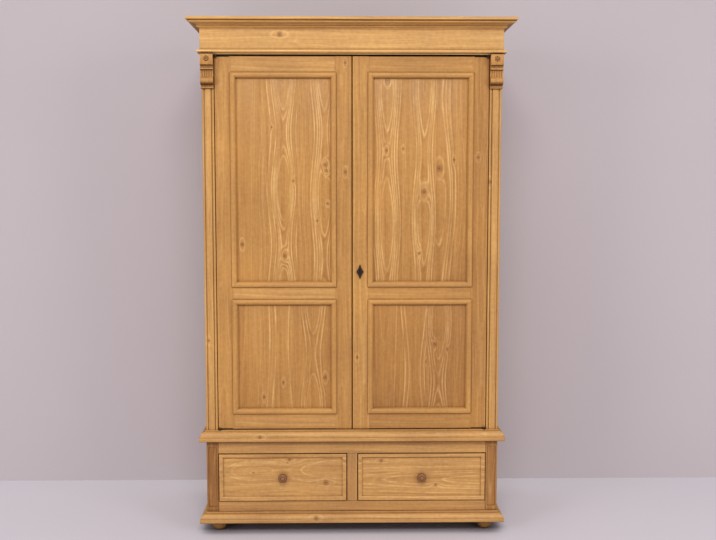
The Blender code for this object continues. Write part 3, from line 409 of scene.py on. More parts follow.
def length_of(name, section, start, end, outward, rise, mitred=(True, True)):
    """One length of moulding between two corners, cut at 45 degrees where it is mitred.

    The section is (outwards from the corner line, along the rise).
    """
    start, end = Vector(start), Vector(end)
    along = (end - start).normalized()
    first = start - along * (MOULDING_END if mitred[0] else 0)
    last = end + along * (MOULDING_END if mitred[1] else 0)
    obj = pulled(name, [first + outward * out + rise * up for out, up in section], last - first)
    cuts = ((mitred[0], start + along * MITRE_LINE, along + outward),
        (mitred[1], end - along * MITRE_LINE, outward - along))
    for is_cut, at, facing in cuts:
        if is_cut:
            bpy.ops.mesh.select_all(action="SELECT")
            bpy.ops.mesh.bisect(plane_co=at, plane_no=facing, use_fill=True, clear_inner=True)
    return obj


def side_looks(name, *piths, **cut):
    """The pine of a moulding's side lengths, from how far in and how high each pith lies, and its rings."""
    return [pine(f"{name}_{side}_pine", "Y", (sign * (HALF - inset), 0, height), ring=ring, **cut)
        for (side, sign), (inset, height, ring) in zip(SIDES, piths)]


def round_three_sides(name, section, level, looks, cad_node, lined=False):
    """Front, left and right length of one moulding, mitred at the front corners.

    Where it is lined, a board is glued behind the front length, between the sides.
    """
    corners = [(-HALF, FRONT, level), (HALF, FRONT, level)]
    front = length_of(f"{name}_front", section, *corners, -Y_AXIS, Z_AXIS)
    dress(front, looks[0], "cabinet", "pine", cad_node)
    for (side, sign), corner, look in zip(SIDES, corners, looks[1:]):
        end = (corner[0], BACK, level)
        piece = length_of(f"{name}_{side}", section, corner, end, X_AXIS * sign, Z_AXIS, mitred=(True, False))
        dress(piece, look, "cabinet", "pine", cad_node)
    if lined:
        inner = -min(out for out, up in section)
        reach = HALF - inner - MITRE_LINE
        tall = max(up for out, up in section)
        lining = board(f"{name}_lining", (-reach, FRONT + inner + MITRE_LINE, level),
            (reach, FRONT + LINED_THICKNESS, level + tall), ease=0.0006)
        dress(lining, looks[0], "cabinet", "pine", cad_node)


def ovolo_base(out, height, fillet, inner):
    """Section of the plinth and of the waist: a square nosing, an ovolo over a quirk, and a fillet."""
    nosing, quirk, arris, neck, ease = 0.0155, 0.0015, 0.0025, 0.0045, 0.0006
    hip = out - 0.0035
    spring = nosing + quirk
    shoulder = height - fillet - 0.001
    return [
        (-inner, 0),
        (out - arris, 0),
        (out, arris),
        (out, nosing - quirk),
        (out - quirk, nosing),
        (hip, nosing),
        *arc((neck + quirk, spring), (hip - neck - quirk, shoulder - spring), 0, 90, 12),
        (neck + quirk, height - fillet),
        (neck, height - fillet),
        (neck, height - ease),
        (neck - ease, height),
        (-inner, height),
    ]


plinth_low, plinth_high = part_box("plinth_moulding")
BASE_OUT = plinth_high[0] - HALF
level = plinth_low[2]
plinth_looks = [
    pine("plinth_front_pine", "X", (0, FRONT + 0.03, level + 0.03), lean=0.7, ring=0.004, tone=0.84,
        pale=0.32, soil=0.5, knots=((-0.147, level + 0.02, 0.006),)),
    *side_looks("plinth", (0.03, level + 0.05, 0.004), (0.02, level + 0.06, 0.0045), tone=0.93, warm=0.2),
]
section = ovolo_base(BASE_OUT, plinth_high[2] - level, fillet=0.0075, inner=0.096)
round_three_sides("plinth", section, level, plinth_looks, "plinth_moulding")


def pick_front(obj):
    """Selects, in edit mode, the faces that look straight to the front."""
    bpy.ops.mesh.select_mode(type="FACE")
    bpy.ops.mesh.select_all(action="DESELECT")
    bpy.ops.object.mode_set(mode="OBJECT")
    for face in obj.data.polygons:
        face.select = face.normal.y < -0.99
    bpy.ops.object.mode_set(mode="EDIT")


for side, sign in SIDES:
    low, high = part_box(f"base_post_{side}")
    post = board(f"corner_post_{side}", low, high)
    # The sunk panel is let into the face with a narrow border, deeper at the top and foot than at its sides
    pick_front(post)
    bpy.ops.mesh.inset(thickness=SUNK_BORDER, depth=0)
    bpy.ops.transform.resize(value=(1, 1, 1 - SUNK_ENDS / (high[2] - low[2])))
    bpy.ops.transform.translate(value=(0, 0, -SUNK_DROP))
    bpy.ops.mesh.inset(thickness=0.0005, depth=-SUNK_DEPTH)
    bpy.ops.mesh.inset(thickness=0.0012, depth=-0.0005)
    bpy.ops.mesh.select_mode(type="VERT")
    look = pine(f"post_pine_{side}", "Z", (sign * 0.57, FRONT + 0.045, 0.24), lean=0.8, ring=0.004,
        tone=0.63 + 0.06 * sign, pale=0.1, warm=0.1, figure=1.0)
    dress(post, look, "cabinet", "pine", f"base_post_{side}")


def finish_in_place(name, look):
    """Gives a piece that keeps its shape from the frame its finish."""
    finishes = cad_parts[name].data.materials
    finishes.clear()
    finishes.append(look)


# The rails and the divider between the posts keep their shape, and so do the boards of the case, which are
# plain and only waxed
RAIL_Y = FRONT + 0.05
case_boards = {
    "base_top_rail": ("X", (0, RAIL_Y, 0.345), dict(lean=0.5, tone=0.87, pale=0.25)),
    "base_bottom_rail": ("X", (0, RAIL_Y, 0.1), dict(lean=-0.6, tone=0.78, pale=0.25)),
    "drawer_divider": ("Z", (0.015, RAIL_Y, 0.2), dict(tone=0.75, pale=0.3)),
    "base_side_left": ("Z", (-HALF + 0.05, 0.03, 0), dict(boards=(-1, 0.7))),
    "base_side_right": ("Z", (HALF - 0.05, 0.02, 0), dict(boards=(-1, 0.7))),
    "base_back": ("X", (0, BACK - 0.06, 0.25), dict(ring=0.007, tone=1.02)),
    "drawer_deck": ("X", (0, 0.02, 0.06), dict(ring=0.007, tone=1.05)),
}
for name, (grain, pith, cut) in case_boards.items():
    finish_in_place(name, pine(f"{name}_pine", grain, pith, **cut))


# Drawers: a front with a raised border, sides lap-dovetailed into its ends, a back and a thin bottom, all of
# pine and glued. The turned knob is stained darker and glued into the front with its spigot.
DRAWER_BORDER, DRAWER_SLOPE, DRAWER_FIELD, DRAWER_EASE = 0.006, 0.011, 0.0065, 0.001
SIDE_BOARD, BOTTOM_BOARD, TAILS = 0.012, 0.007, 4
TAIL_LENGTH, TAIL_SHARE, TAIL_SLOPE, TAIL_MARGIN = 0.015, 0.62, 1 / 6, 0.004
FIT, SAW_PAST = 0.0003, 0.002


def cut_away(obj, cutter):
    """Saws or bores a piece with the shape of another, which is then thrown away."""
    settle(cutter)
    settle(obj)
    saw = obj.modifiers.new("saw", "BOOLEAN")
    saw.operation = "DIFFERENCE"
    saw.object = cutter
    bpy.ops.object.modifier_apply(modifier=saw.name)
    bpy.data.objects.remove(cutter)


def tails(x, shoulder, low, pitch, grow=0.0, over=0.0):
    """The dovetails on a drawer side's front end, seen from the side, from the lowest up."""
    outlines = []
    for number in range(TAILS):
        middle = low + (number + 0.5) * pitch
        root = pitch * TAIL_SHARE / 2 + grow
        tip = root + TAIL_LENGTH * TAIL_SLOPE
        end = shoulder - TAIL_LENGTH - grow
        outlines.append([(x, shoulder + over, middle - root), (x, end, middle - tip), (x, end, middle + tip),
            (x, shoulder + over, middle + root)])
    return outlines


def box_part(piece, side, part, grain, pith, **cut):
    """Ends a part of a drawer's box, which is of plain pine."""
    look = pine(f"{side}_drawer_{part}_pine", grain, pith, **cut)
    dress(piece, look, f"{side}_drawer", "pine_inside", f"{side}_drawer_box")


drawer_cuts = {
    "left": dict(pith=(-0.06, FRONT + 0.06, 0.255), tone=0.93, lean=2.6, wave=(-0.255, 0.34, 0.004),
        lines=(0.052, 0.066, 0.078),
        knots=((-0.255, 0.3005, 0.005), (-0.263, 0.288, 0.0025), (-0.108, 0.205, 0.0075),
            (-0.402, 0.246, 0.003))),
    "right": dict(pith=(0.25, FRONT + 0.0334, 0.215), tone=0.9, lean=2.3,
        lines=(0.0246, 0.035, 0.042, 0.06, 0.082),
        knots=((0.118, 0.295, 0.005), (0.34, 0.194, 0.0045))),
}
for side, cut in drawer_cuts.items():
    low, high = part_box(f"{side}_drawer_front")
    box_low, box_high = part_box(f"{side}_drawer_box")
    shoulder = high[1] + FIT
    first = low[2] + TAIL_MARGIN
    pitch = (box_high[2] - TAIL_MARGIN - first) / TAILS
    middle_x = (low[0] + high[0]) / 2

    front = board(f"{side}_drawer_panel", low, high, ease=DRAWER_EASE)
    pick_front(front)
    bpy.ops.mesh.inset(thickness=DRAWER_BORDER - DRAWER_EASE, depth=0)
    slope = arc((0, 0), (DRAWER_SLOPE, DRAWER_FIELD - 0.001), 90, 0, 9)
    for (near, up), (far, down) in zip(slope, slope[1:]):
        bpy.ops.mesh.inset(thickness=far - near, depth=down - up)
    bpy.ops.mesh.inset(thickness=0.0008, depth=-0.001)
    bpy.ops.mesh.select_mode(type="VERT")
    ends = (("left", low[0], 1), ("right", high[0], -1))
    for end, x, inward in ends:
        for outline in tails(x - inward * SAW_PAST, shoulder, first, pitch, grow=FIT, over=SAW_PAST):
            cut_away(front, pulled("socket", outline, X_AXIS * inward * (SIDE_BOARD + SAW_PAST + FIT)))
    look = pine(f"{side}_drawer_front_pine", "X", ring=0.007, pale=0.2, figure=0.85, stray=0.01, **cut)
    dress(front, look, f"{side}_drawer", "pine", f"{side}_drawer_front", smooth=24)

    for end, x, inward in ends:
        outline = [(x, shoulder, box_low[2])]
        for tail in tails(x, shoulder, first, pitch):
            outline += tail
        outline += [(x, shoulder, box_high[2]), (x, box_high[1], box_high[2]), (x, box_high[1], box_low[2])]
        wall = pulled(f"{side}_drawer_{end}_side", outline, X_AXIS * inward * SIDE_BOARD)
        box_part(wall, side, f"{end}_side", "Y", (x, 0, 0.2 + 0.03 * inward), lean=0.8, tone=1.1, stray=0.03,
            rough=0.55)
    left, right = low[0] + SIDE_BOARD, high[0] - SIDE_BOARD
    bottom = box_low[2] + 0.01
    groove = box_high[1] - 0.5 * SIDE_BOARD
    rear = board(f"{side}_drawer_back", (left, box_high[1] - 1.5 * SIDE_BOARD, bottom + BOTTOM_BOARD),
        (right, groove, box_high[2] - 0.01), ease=0.0008)
    box_part(rear, side, "back", "X", (middle_x, 0.2, 0.25), lean=0.8, ring=0.006, tone=1.1, rough=0.55)
    sheet = board(f"{side}_drawer_bottom", (left, shoulder, bottom), (right, groove, bottom + BOTTOM_BOARD),
        ease=0.0005)
    box_part(sheet, side, "bottom", "X", (middle_x, 0.05, 0.09), lean=0.6, ring=0.007, tone=1.12, rough=0.6)

KNOB_WOOD, KNOB_PAINTED_SHADE, KNOB_PAINTED_HIGHLIGHT = (0.23, 0.096, 0.037), (0.11, 0.043, 0.018), (0.28, 0.128, 0.052)
KNOB_NECK, KNOB_SPIGOT = 0.0085, 0.006
for side in drawer_cuts:
    low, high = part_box(f"{side}_drawer_knob")
    radius = (high[0] - low[0]) / 2
    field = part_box(f"{side}_drawer_front")[0][1] + DRAWER_FIELD
    reach = field - low[1]
    x, _, z = middle_of(low, high)
    foot = (x, field, z)
    knob = turned(f"{side}_knob", [
        (0, reach),
        (0.28 * radius, reach - 0.0003),
        (0.37 * radius, reach - 0.0012),
        (0.42 * radius, reach - 0.0024),
        *arc((0.52 * radius, reach - 0.0095), (0.48 * radius, 0.0075), 85, -75, 16),
        *arc((KNOB_NECK + 0.0055, 0.0078), (0.0055, 0.0048), 100, 235, 8),
        (KNOB_NECK + 0.0035, 0.0024),
        (KNOB_NECK + 0.0035, 0.0006),
        (KNOB_NECK + 0.0029, FIT),
        (KNOB_SPIGOT, FIT),
        (KNOB_SPIGOT, field - high[1]),
        (0, field - high[1]),
    ], foot, up=(0, -1, 0))
    # Turned from a stained block. Its colour holds painted shade, darker in the hollow behind the rim and at
    # the rim's edge, and a painted highlight, paler on the boss
    look, tree, place = new_material(f"{side}_knob_wood")
    at = place - foot
    off_axis = reckon("LENGTH", at * (1.0, 0.0, 1.0)) / radius
    colour = ramp(off_axis, (0.0, KNOB_PAINTED_HIGHLIGHT), (0.34, KNOB_PAINTED_HIGHLIGHT), (0.44, KNOB_PAINTED_SHADE), (0.6, KNOB_WOOD),
        (0.9, KNOB_WOOD), (1.0, KNOB_PAINTED_SHADE))
    streaks = noise(at, (500.0, 60.0, 60.0), detail=3.0)
    worn = noise(at, (90.0, 90.0, 90.0))
    colour = mix(1.0, colour, streaks * 0.7 + (worn * 0.5 + 0.42), "MULTIPLY")
    coat(look, colour, worn * 0.3 + 0.22, streaks, strength=0.2, depth=0.0004)
    dress(knob, look, f"{side}_drawer", "knob_wood", f"{side}_drawer_knob")


# Upper case: two sides, floor, roof and a back of V-jointed boards, all of pine. It stands on the waist, an
# ovolo moulding like the plinth's, mitred at the front corners and glued to a frame.
waist_low, waist_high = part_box("waist_moulding")
level = waist_low[2]
waist_looks = [
    pine("waist_front_pine", "X", (0.1, FRONT + 0.02, level - 0.01), lean=-0.8, ring=0.004, tone=0.92,
        pale=0.2, soil=0.45, knots=((-0.372, level + 0.02, 0.005),)),
    *side_looks("waist", (0.02, level + 0.06, 0.0042), (0.03, level + 0.05, 0.004), tone=0.95),
]
section = ovolo_base(BASE_OUT, waist_high[2] - level, fillet=0.005, inner=0.02)
round_three_sides("waist", section, level, waist_looks, "waist_moulding", lined=True)

back_low, back_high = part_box("back_panel")
BACK_BOARDS = 12
back_boards = (back_low[0], (back_high[0] - back_low[0]) / BACK_BOARDS)
upper_boards = {
    "carcass_floor": ("X", (0, 0.02, 0.4), dict(ring=0.0065, tone=1.06)),
    "carcass_roof": ("X", (0, 0.03, 1.97), dict(ring=0.0065, tone=0.9, soil=1.0)),
    "carcass_side_left": ("Z", (-HALF + 0.055, 0.02, 1.2), dict(lean=0.7, ring=0.006)),
    "carcass_side_right": ("Z", (HALF - 0.055, 0.04, 1.2), dict(lean=-0.7, ring=0.006)),
    "back_panel": ("Z", (0, BACK - 0.06, 1.2), dict(lean=0.9, ring=0.0055, tone=1.04, boards=back_boards)),
    "hat_shelf": ("X", (0, 0.05, 1.53), dict(ring=0.0065, tone=1.06)),
    "hanging_rail": ("X", (0, 0.045, 1.49), dict(ring=0.0035, tone=1.0)),
    "rail_socket_left": ("Z", (-HALF + 0.05, 0.05, 1.5), dict(ring=0.004)),
    "rail_socket_right": ("Z", (HALF - 0.05, 0.05, 1.5), dict(ring=0.004)),
}
for name, (grain, pith, cut) in upper_boards.items():
    finish_in_place(name, pine(f"{name}_pine", grain, pith, **cut))


# Pilasters: a post of pine at each front corner, planed with a flat field between two round grooves. Each has
# a carved corbel glued to its head: a block with a rosette, a cove, a fillet, a fluted hollow, a roll with
# flutes under it, and a thin lip.
GROOVE_AT, GROOVE_RADIUS, FIELD_SINK, FIELD_CREST, PILASTER_EASE = 0.0095, 0.0019, 0.002, 0.0205, 0.0006
CORBEL_OUT, STRIPS, FLUTE_DEPTH = 0.025, 22, 0.002
HOLLOW_FLUTES, ROLL_FLUTES = (0.0615, 0.0885), (0.1075, 0.122)
pilaster_knots = {"left": ((-0.575, 0.79, 0.004),), "right": ((0.548, 1.424, 0.005),)}


def ball(at, sizes, around, rings):
    """A ball, flattened to its half sizes."""
    bpy.ops.mesh.primitive_uv_sphere_add(segments=around, ring_count=rings, location=at, scale=sizes)
    return bpy.context.object


for side, sign in SIDES:
    low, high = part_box(f"pilaster_{side}")
    width, deep = high[0] - low[0], high[1] - low[1]
    far = width - GROOVE_AT
    plan = [
        (0.0018, 0),
        (GROOVE_AT - GROOVE_RADIUS - PILASTER_EASE, 0),
        *arc((GROOVE_AT, FIELD_SINK), (GROOVE_RADIUS, GROOVE_RADIUS), 180, 0, 8),
        (FIELD_CREST - 0.002, 0.0002),
        (FIELD_CREST, 0),
        (far - GROOVE_RADIUS - PILASTER_EASE, 0),
        *arc((far, FIELD_SINK), (GROOVE_RADIUS, GROOVE_RADIUS), 180, 0, 8),
        (far + GROOVE_RADIUS + PILASTER_EASE, 0),
        *arc((width - 0.002, 0.002), (0.002, 0.002), -90, 0, 4),
        (width, deep),
        (0, deep),
        (0, 0.0018),
    ]
    outline = [(sign * (HALF - across), low[1] + back, low[2]) for across, back in plan]
    post = pulled(f"reeded_pilaster_{side}", outline, Z_AXIS * (high[2] - low[2]))
    look = pine(f"pilaster_{side}_pine", "Z", (sign * 0.572, FRONT + 0.04, 1.2), lean=0.5 * sign, ring=0.0038,
        tone=1.02, pale=0.1, knots=pilaster_knots[side], soil=0.4)
    dress(post, look, "cabinet", "pine", f"pilaster_{side}", smooth=40)

    low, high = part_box(f"corbel_{side}")
    out, tall = CORBEL_OUT, high[2] - low[2]
    face = [
        (0, 0),
        (out - 0.0008, 0),
        (out, 0.0008),
        (out, 0.0405),
        (out - 0.002, 0.0425),
        (out - 0.006, 0.0425),
        *arc((out - 0.006, 0.052), (0.005, 0.0085), -100, -180, 8),
        (out - 0.0075, 0.053),
        (out - 0.007, 0.0585),
        (out - 0.01, 0.06),
        *arc((out - 0.01, 0.0745), (0.006, 0.014), -100, -250, 14),
        *arc((0.01, 0.102), (0.013, 0.0135), -75, 75, 14),
        (0.005, 0.12),
        (0.005, 0.125),
        (0.0075, 0.127),
        (0.0075, 0.1305),
        (0.0055, tall),
        (0, tall),
    ]
    outline = [(low[0], high[1] - forward, high[2] - down) for forward, down in face]
    corbel = trace(f"carved_corbel_{side}", outline)
    bpy.ops.mesh.edge_face_add()
    # The flutes are gouged between narrow reeds: lines across the hollow and the roll are pushed in
    strip_wide = (high[0] - low[0]) / STRIPS
    for strip in range(STRIPS):
        bpy.ops.mesh.extrude_region_move(TRANSFORM_OT_translate={"value": X_AXIS * strip_wide})
    for strip in range(3, STRIPS - 2, 4):
        bpy.ops.mesh.select_all(action="DESELECT")
        bpy.ops.object.mode_set(mode="OBJECT")
        for point in corbel.data.vertices:
            drop = high[2] - point.co.z
            fluted = any(top < drop < foot for top, foot in (HOLLOW_FLUTES, ROLL_FLUTES))
            on_line = abs(point.co.x - low[0] - strip * strip_wide) < 0.0002
            point.select = on_line and fluted and point.co.y < high[1] - 0.003
        bpy.ops.object.mode_set(mode="EDIT")
        bpy.ops.transform.translate(value=(0, FLUTE_DEPTH, 0))
    look = pine(f"corbel_{side}_pine", "Z", (sign * 0.56, FRONT + 0.02, 1.86), lean=1.0, ring=0.0034,
        tone=0.98, warm=0.1)
    # The rosette: six petals round a boss, carved in one with the block in a round dish
    centre = Vector((middle_of(low, high)[0], low[1], high[2] - 0.018))
    settle(None)
    cut_away(corbel, ball(centre, (0.0108, 0.0022, 0.0108), 32, 16))
    dress(corbel, look, "cabinet", "pine", f"corbel_{side}", smooth=45)
    settle(None)
    rosette = ball(centre + X_AXIS * 0.0066, (0.0044, 0.0026, 0.0026), 16, 10)
    rosette.name = f"corbel_rosette_{side}"
    bpy.ops.object.transform_apply()
    bpy.ops.object.mode_set(mode="EDIT")
    bpy.ops.mesh.spin(steps=6, dupli=True, use_auto_merge=False, angle=2 * math.pi, center=centre,
        axis=Y_AXIS)
    bpy.ops.mesh.select_all(action="SELECT")
    bpy.ops.mesh.remove_doubles(threshold=0.00001)
    ball(centre, (0.003, 0.0034, 0.003), 20, 12)
    dress(rosette, look, "cabinet", "pine", f"corbel_{side}", smooth=60)


# Head: a frieze board with a bead along its foot, and the cornice on top of it, which lifts off. The cornice
# is planed in one: a cavetto, a bead, a cove, a half round and a square fascia.
frieze_low, frieze_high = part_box("frieze")
bead_low, bead_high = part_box("frieze_bead")
cornice_low, cornice_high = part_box("cornice")
HEAD_INNER = 0.02
frieze_out = frieze_high[0] - HALF
frieze_tall = frieze_high[2] - frieze_low[2]
frieze_section = [(-HEAD_INNER, 0), (frieze_out, 0), (frieze_out, frieze_tall), (-HEAD_INNER, frieze_tall)]
frieze_looks = [
    pine("frieze_front_pine", "X", (-0.15, FRONT + 0.035, frieze_low[2] + 0.045), lean=1.1, ring=0.006,
        tone=1.1, pale=0.2, soil=1.0, knots=((-0.283, 1.998, 0.007),)),
    *side_looks("frieze", (0.03, 1.96, 0.005), (0.03, 1.98, 0.005), lean=0.6, tone=1.08),
]
round_three_sides("frieze", frieze_section, frieze_low[2], frieze_looks, "frieze", lined=True)

root, nose, level = frieze_out + 0.001, bead_high[0] - HALF, bead_low[2]
bead_section = [
    (frieze_out + FIT, 0),
    *arc((nose - 0.002, 0), (nose - 0.002 - root, 0.006), 180, 90, 8),
    *arc((nose - 0.005, 0.0118), (0.005, 0.0052), -60, 90, 12),
    (root, 0.0192),
    (root, bead_high[2] - level),
    (frieze_out + FIT, bead_high[2] - level),
]
bead_looks = [
    pine("bead_front_pine", "X", (0.1, FRONT + 0.03, level), lean=0.6, ring=0.0035, tone=1.2, pale=0.3,
        soil=0.7),
    *side_looks("bead", *[(0.03, level, 0.0035)] * 2, tone=1.02),
]
round_three_sides("bead", bead_section, level, bead_looks, "frieze_bead")

level, tip, tall = cornice_low[2], cornice_high[0] - HALF, cornice_high[2] - cornice_low[2]
foot, bead, throat = frieze_out + 0.001, frieze_out + 0.007, tip - 0.02
cornice_section = [
    (-HEAD_INNER, 0),
    *arc((bead + 0.0005, 0), (bead + 0.0005 - foot, 0.005), 180, 90, 8),
    *arc((bead, 0.0088), (0.0048, 0.0037), -80, 90, 12),
    (bead + 0.003, 0.0132),
    *arc((throat, 0.0135), (throat - bead - 0.003, 0.006), 180, 90, 12)[1:],
    *arc((throat + 0.004, 0.024), (0.0065, 0.0042), -95, 90, 14),
    (throat + 0.0042, 0.03),
    (tip - 0.0015, 0.03),
    (tip, 0.0315),
    (tip, tall - 0.0015),
    (tip - 0.0015, tall),
    (-HEAD_INNER, tall),
]
cornice_looks = [
    pine("cornice_front_pine", "X", (-0.1, FRONT + 0.02, level - 0.01), lean=0.8, ring=0.004, tone=1.12,
        pale=0.1, soil=0.1),
    *side_looks("cornice", *[(0.02, level - 0.02, 0.004)] * 2, tone=1.05, soil=0.2),
]
round_three_sides("cornice", cornice_section, level, cornice_looks, "cornice", lined=True)


# Doors: two stiles and three rails, mortised and glued, with a groove round each opening that holds a flat
# panel of three glued boards. A bolection moulding, mitred at its corners, covers the frame's edge in front.
STILE, GROOVE_DEPTH, PANEL_TONGUE, MOULDING_INSIDE, LEAF_RECESS = 0.066, 0.008, 0.007, 0.018, 0.06


def frame_plan(width, deep, groove, near, far):
    """Section of a stile or rail: across it and back from its face, grooved along its near or far edge."""
    ease = 0.0012
    near_ease, far_ease = 0.0002 if near else ease, 0.0002 if far else ease
    first, last = groove
    plan = [(near_ease, 0), (width - far_ease, 0), (width, far_ease)]
    if far:
        plan += [(width, first), (width - GROOVE_DEPTH, first), (width - GROOVE_DEPTH, last), (width, last)]
    plan += [(width, deep - ease), (width - ease, deep), (ease, deep), (0, deep - ease)]
    if near:
        plan += [(0, last), (GROOVE_DEPTH, last), (GROOVE_DEPTH, first), (0, first)]
    return [*plan, (0, near_ease)]


def panel_bead(seat, bed):
    """Section of the bolection: a half round that laps over the frame and steps down to the panel."""
    lip, crest, middle, step, ease = 0.006, 0.0075, -0.004, 0.003, 0.0015
    foot = bed + step
    return [
        (lip, seat),
        *arc((middle, seat + 0.0008), (lip - middle, crest - seat - 0.0008), 0, 90, 10),
        *arc((middle, foot), (MOULDING_INSIDE + middle - ease, crest - foot), 90, 172, 12)[1:],
        (ease - MOULDING_INSIDE, foot),
        (-MOULDING_INSIDE, foot - ease),
        (-MOULDING_INSIDE, bed),
        (-seat, bed),
        (-seat, seat),
    ]


# Where each panel's boards meet, and how each board was cut: pith x, pith depth, lean, tone, figure, the wave
# in its rings, the strong rings' distances beyond the pith, and its knots
panel_boards = {
    "left_upper": ((-0.371, -0.218), (
        (-0.46, 0.11, 0.6, 0.98, 0.3, None, (), ((-0.438, 1.176, 0.0055),)),
        (-0.272, 0.04, 0.0, 0.98, 0.6, (1.618, 0.44, 0.007),
            (0.005, 0.0018, -0.0022, -0.0052, 0.011, 0.0262),
            ((-0.318, 1.64, 0.003), (-0.234, 1.428, 0.0035), (-0.269, 1.13, 0.005))),
        (-0.109, 0.036, 0.0, 0.97, 0.6, (1.619, 0.5, 0.0065), (0.0051, 0.0008, -0.0042, 0.011, 0.02),
            ((-0.105, 1.491, 0.006), (-0.102, 1.468, 0.005), (-0.098, 1.339, 0.0035),
            (-0.139, 1.27, 0.0035))),
    )),
    "right_upper": ((0.215, 0.335), (
        (0.139, 0.038, 0.0, 0.98, 0.6, (1.535, 0.56, 0.0065), (0.0047, 0.0005, -0.004, 0.0105, 0.018),
            ((0.14, 1.822, 0.0065), (0.137, 1.549, 0.0042), (0.203, 1.555, 0.0035))),
        (0.287, 0.036, 0.0, 0.97, 0.6, (1.54, 0.52, 0.006), (0.0055, 0.0015, -0.0035, 0.012),
            ((0.287, 1.385, 0.0075), (0.27, 1.14, 0.004))),
        (0.346, 0.036, 0.0, 0.94, 0.6, (1.762, 0.8, 0.012), (0.0138, 0.007, -0.008, 0.026),
            ((0.347, 1.478, 0.009), (0.405, 1.512, 0.004), (0.304, 1.738, 0.003))),
    )),
    "left_lower": ((-0.405, -0.24), (
        (-0.455, 0.09, 0.8, 0.88, 0.5, None, (0.012,), ()),
        (-0.282, 0.036, 0.0, 0.94, 0.5, (0.795, 0.9, 0.009), (0.0105, 0.03),
            ((-0.278, 0.617, 0.004), (-0.356, 0.557, 0.0045))),
        (-0.156, 0.036, 0.0, 0.89, 0.5, (0.735, 0.44, 0.008), (0.002, -0.004, 0.012),
            ((-0.109, 0.637, 0.0055),)),
    )),
    "right_lower": ((0.19, 0.3), (
        (0.13, 0.08, 1.0, 0.82, 0.5, None, (0.006, 0.018), ()),
        (0.254, 0.034, 0.0, 0.84, 0.5, (0.66, 0.7, 0.01), (0.0108, 0.023), ((0.301, 0.701, 0.004),)),
        (0.349, 0.036, 0.0, 0.81, 0.5, (0.62, 0.48, 0.0085), (0.006, 0.001, -0.004, 0.013),
            ((0.335, 0.772, 0.005), (0.384, 0.752, 0.0035))),
    )),
}
stile_cuts = {
    ("left", "inner"): dict(tone=0.93, knots=((-0.027, 1.463, 0.005), (-0.027, 1.89, 0.004))),
    ("left", "outer"): dict(tone=0.95),
    ("right", "inner"): dict(tone=1.00, knots=((0.02, 0.72, 0.004),)),
    ("right", "outer"): dict(tone=0.85, knots=((0.5, 1.521, 0.0045),)),
}
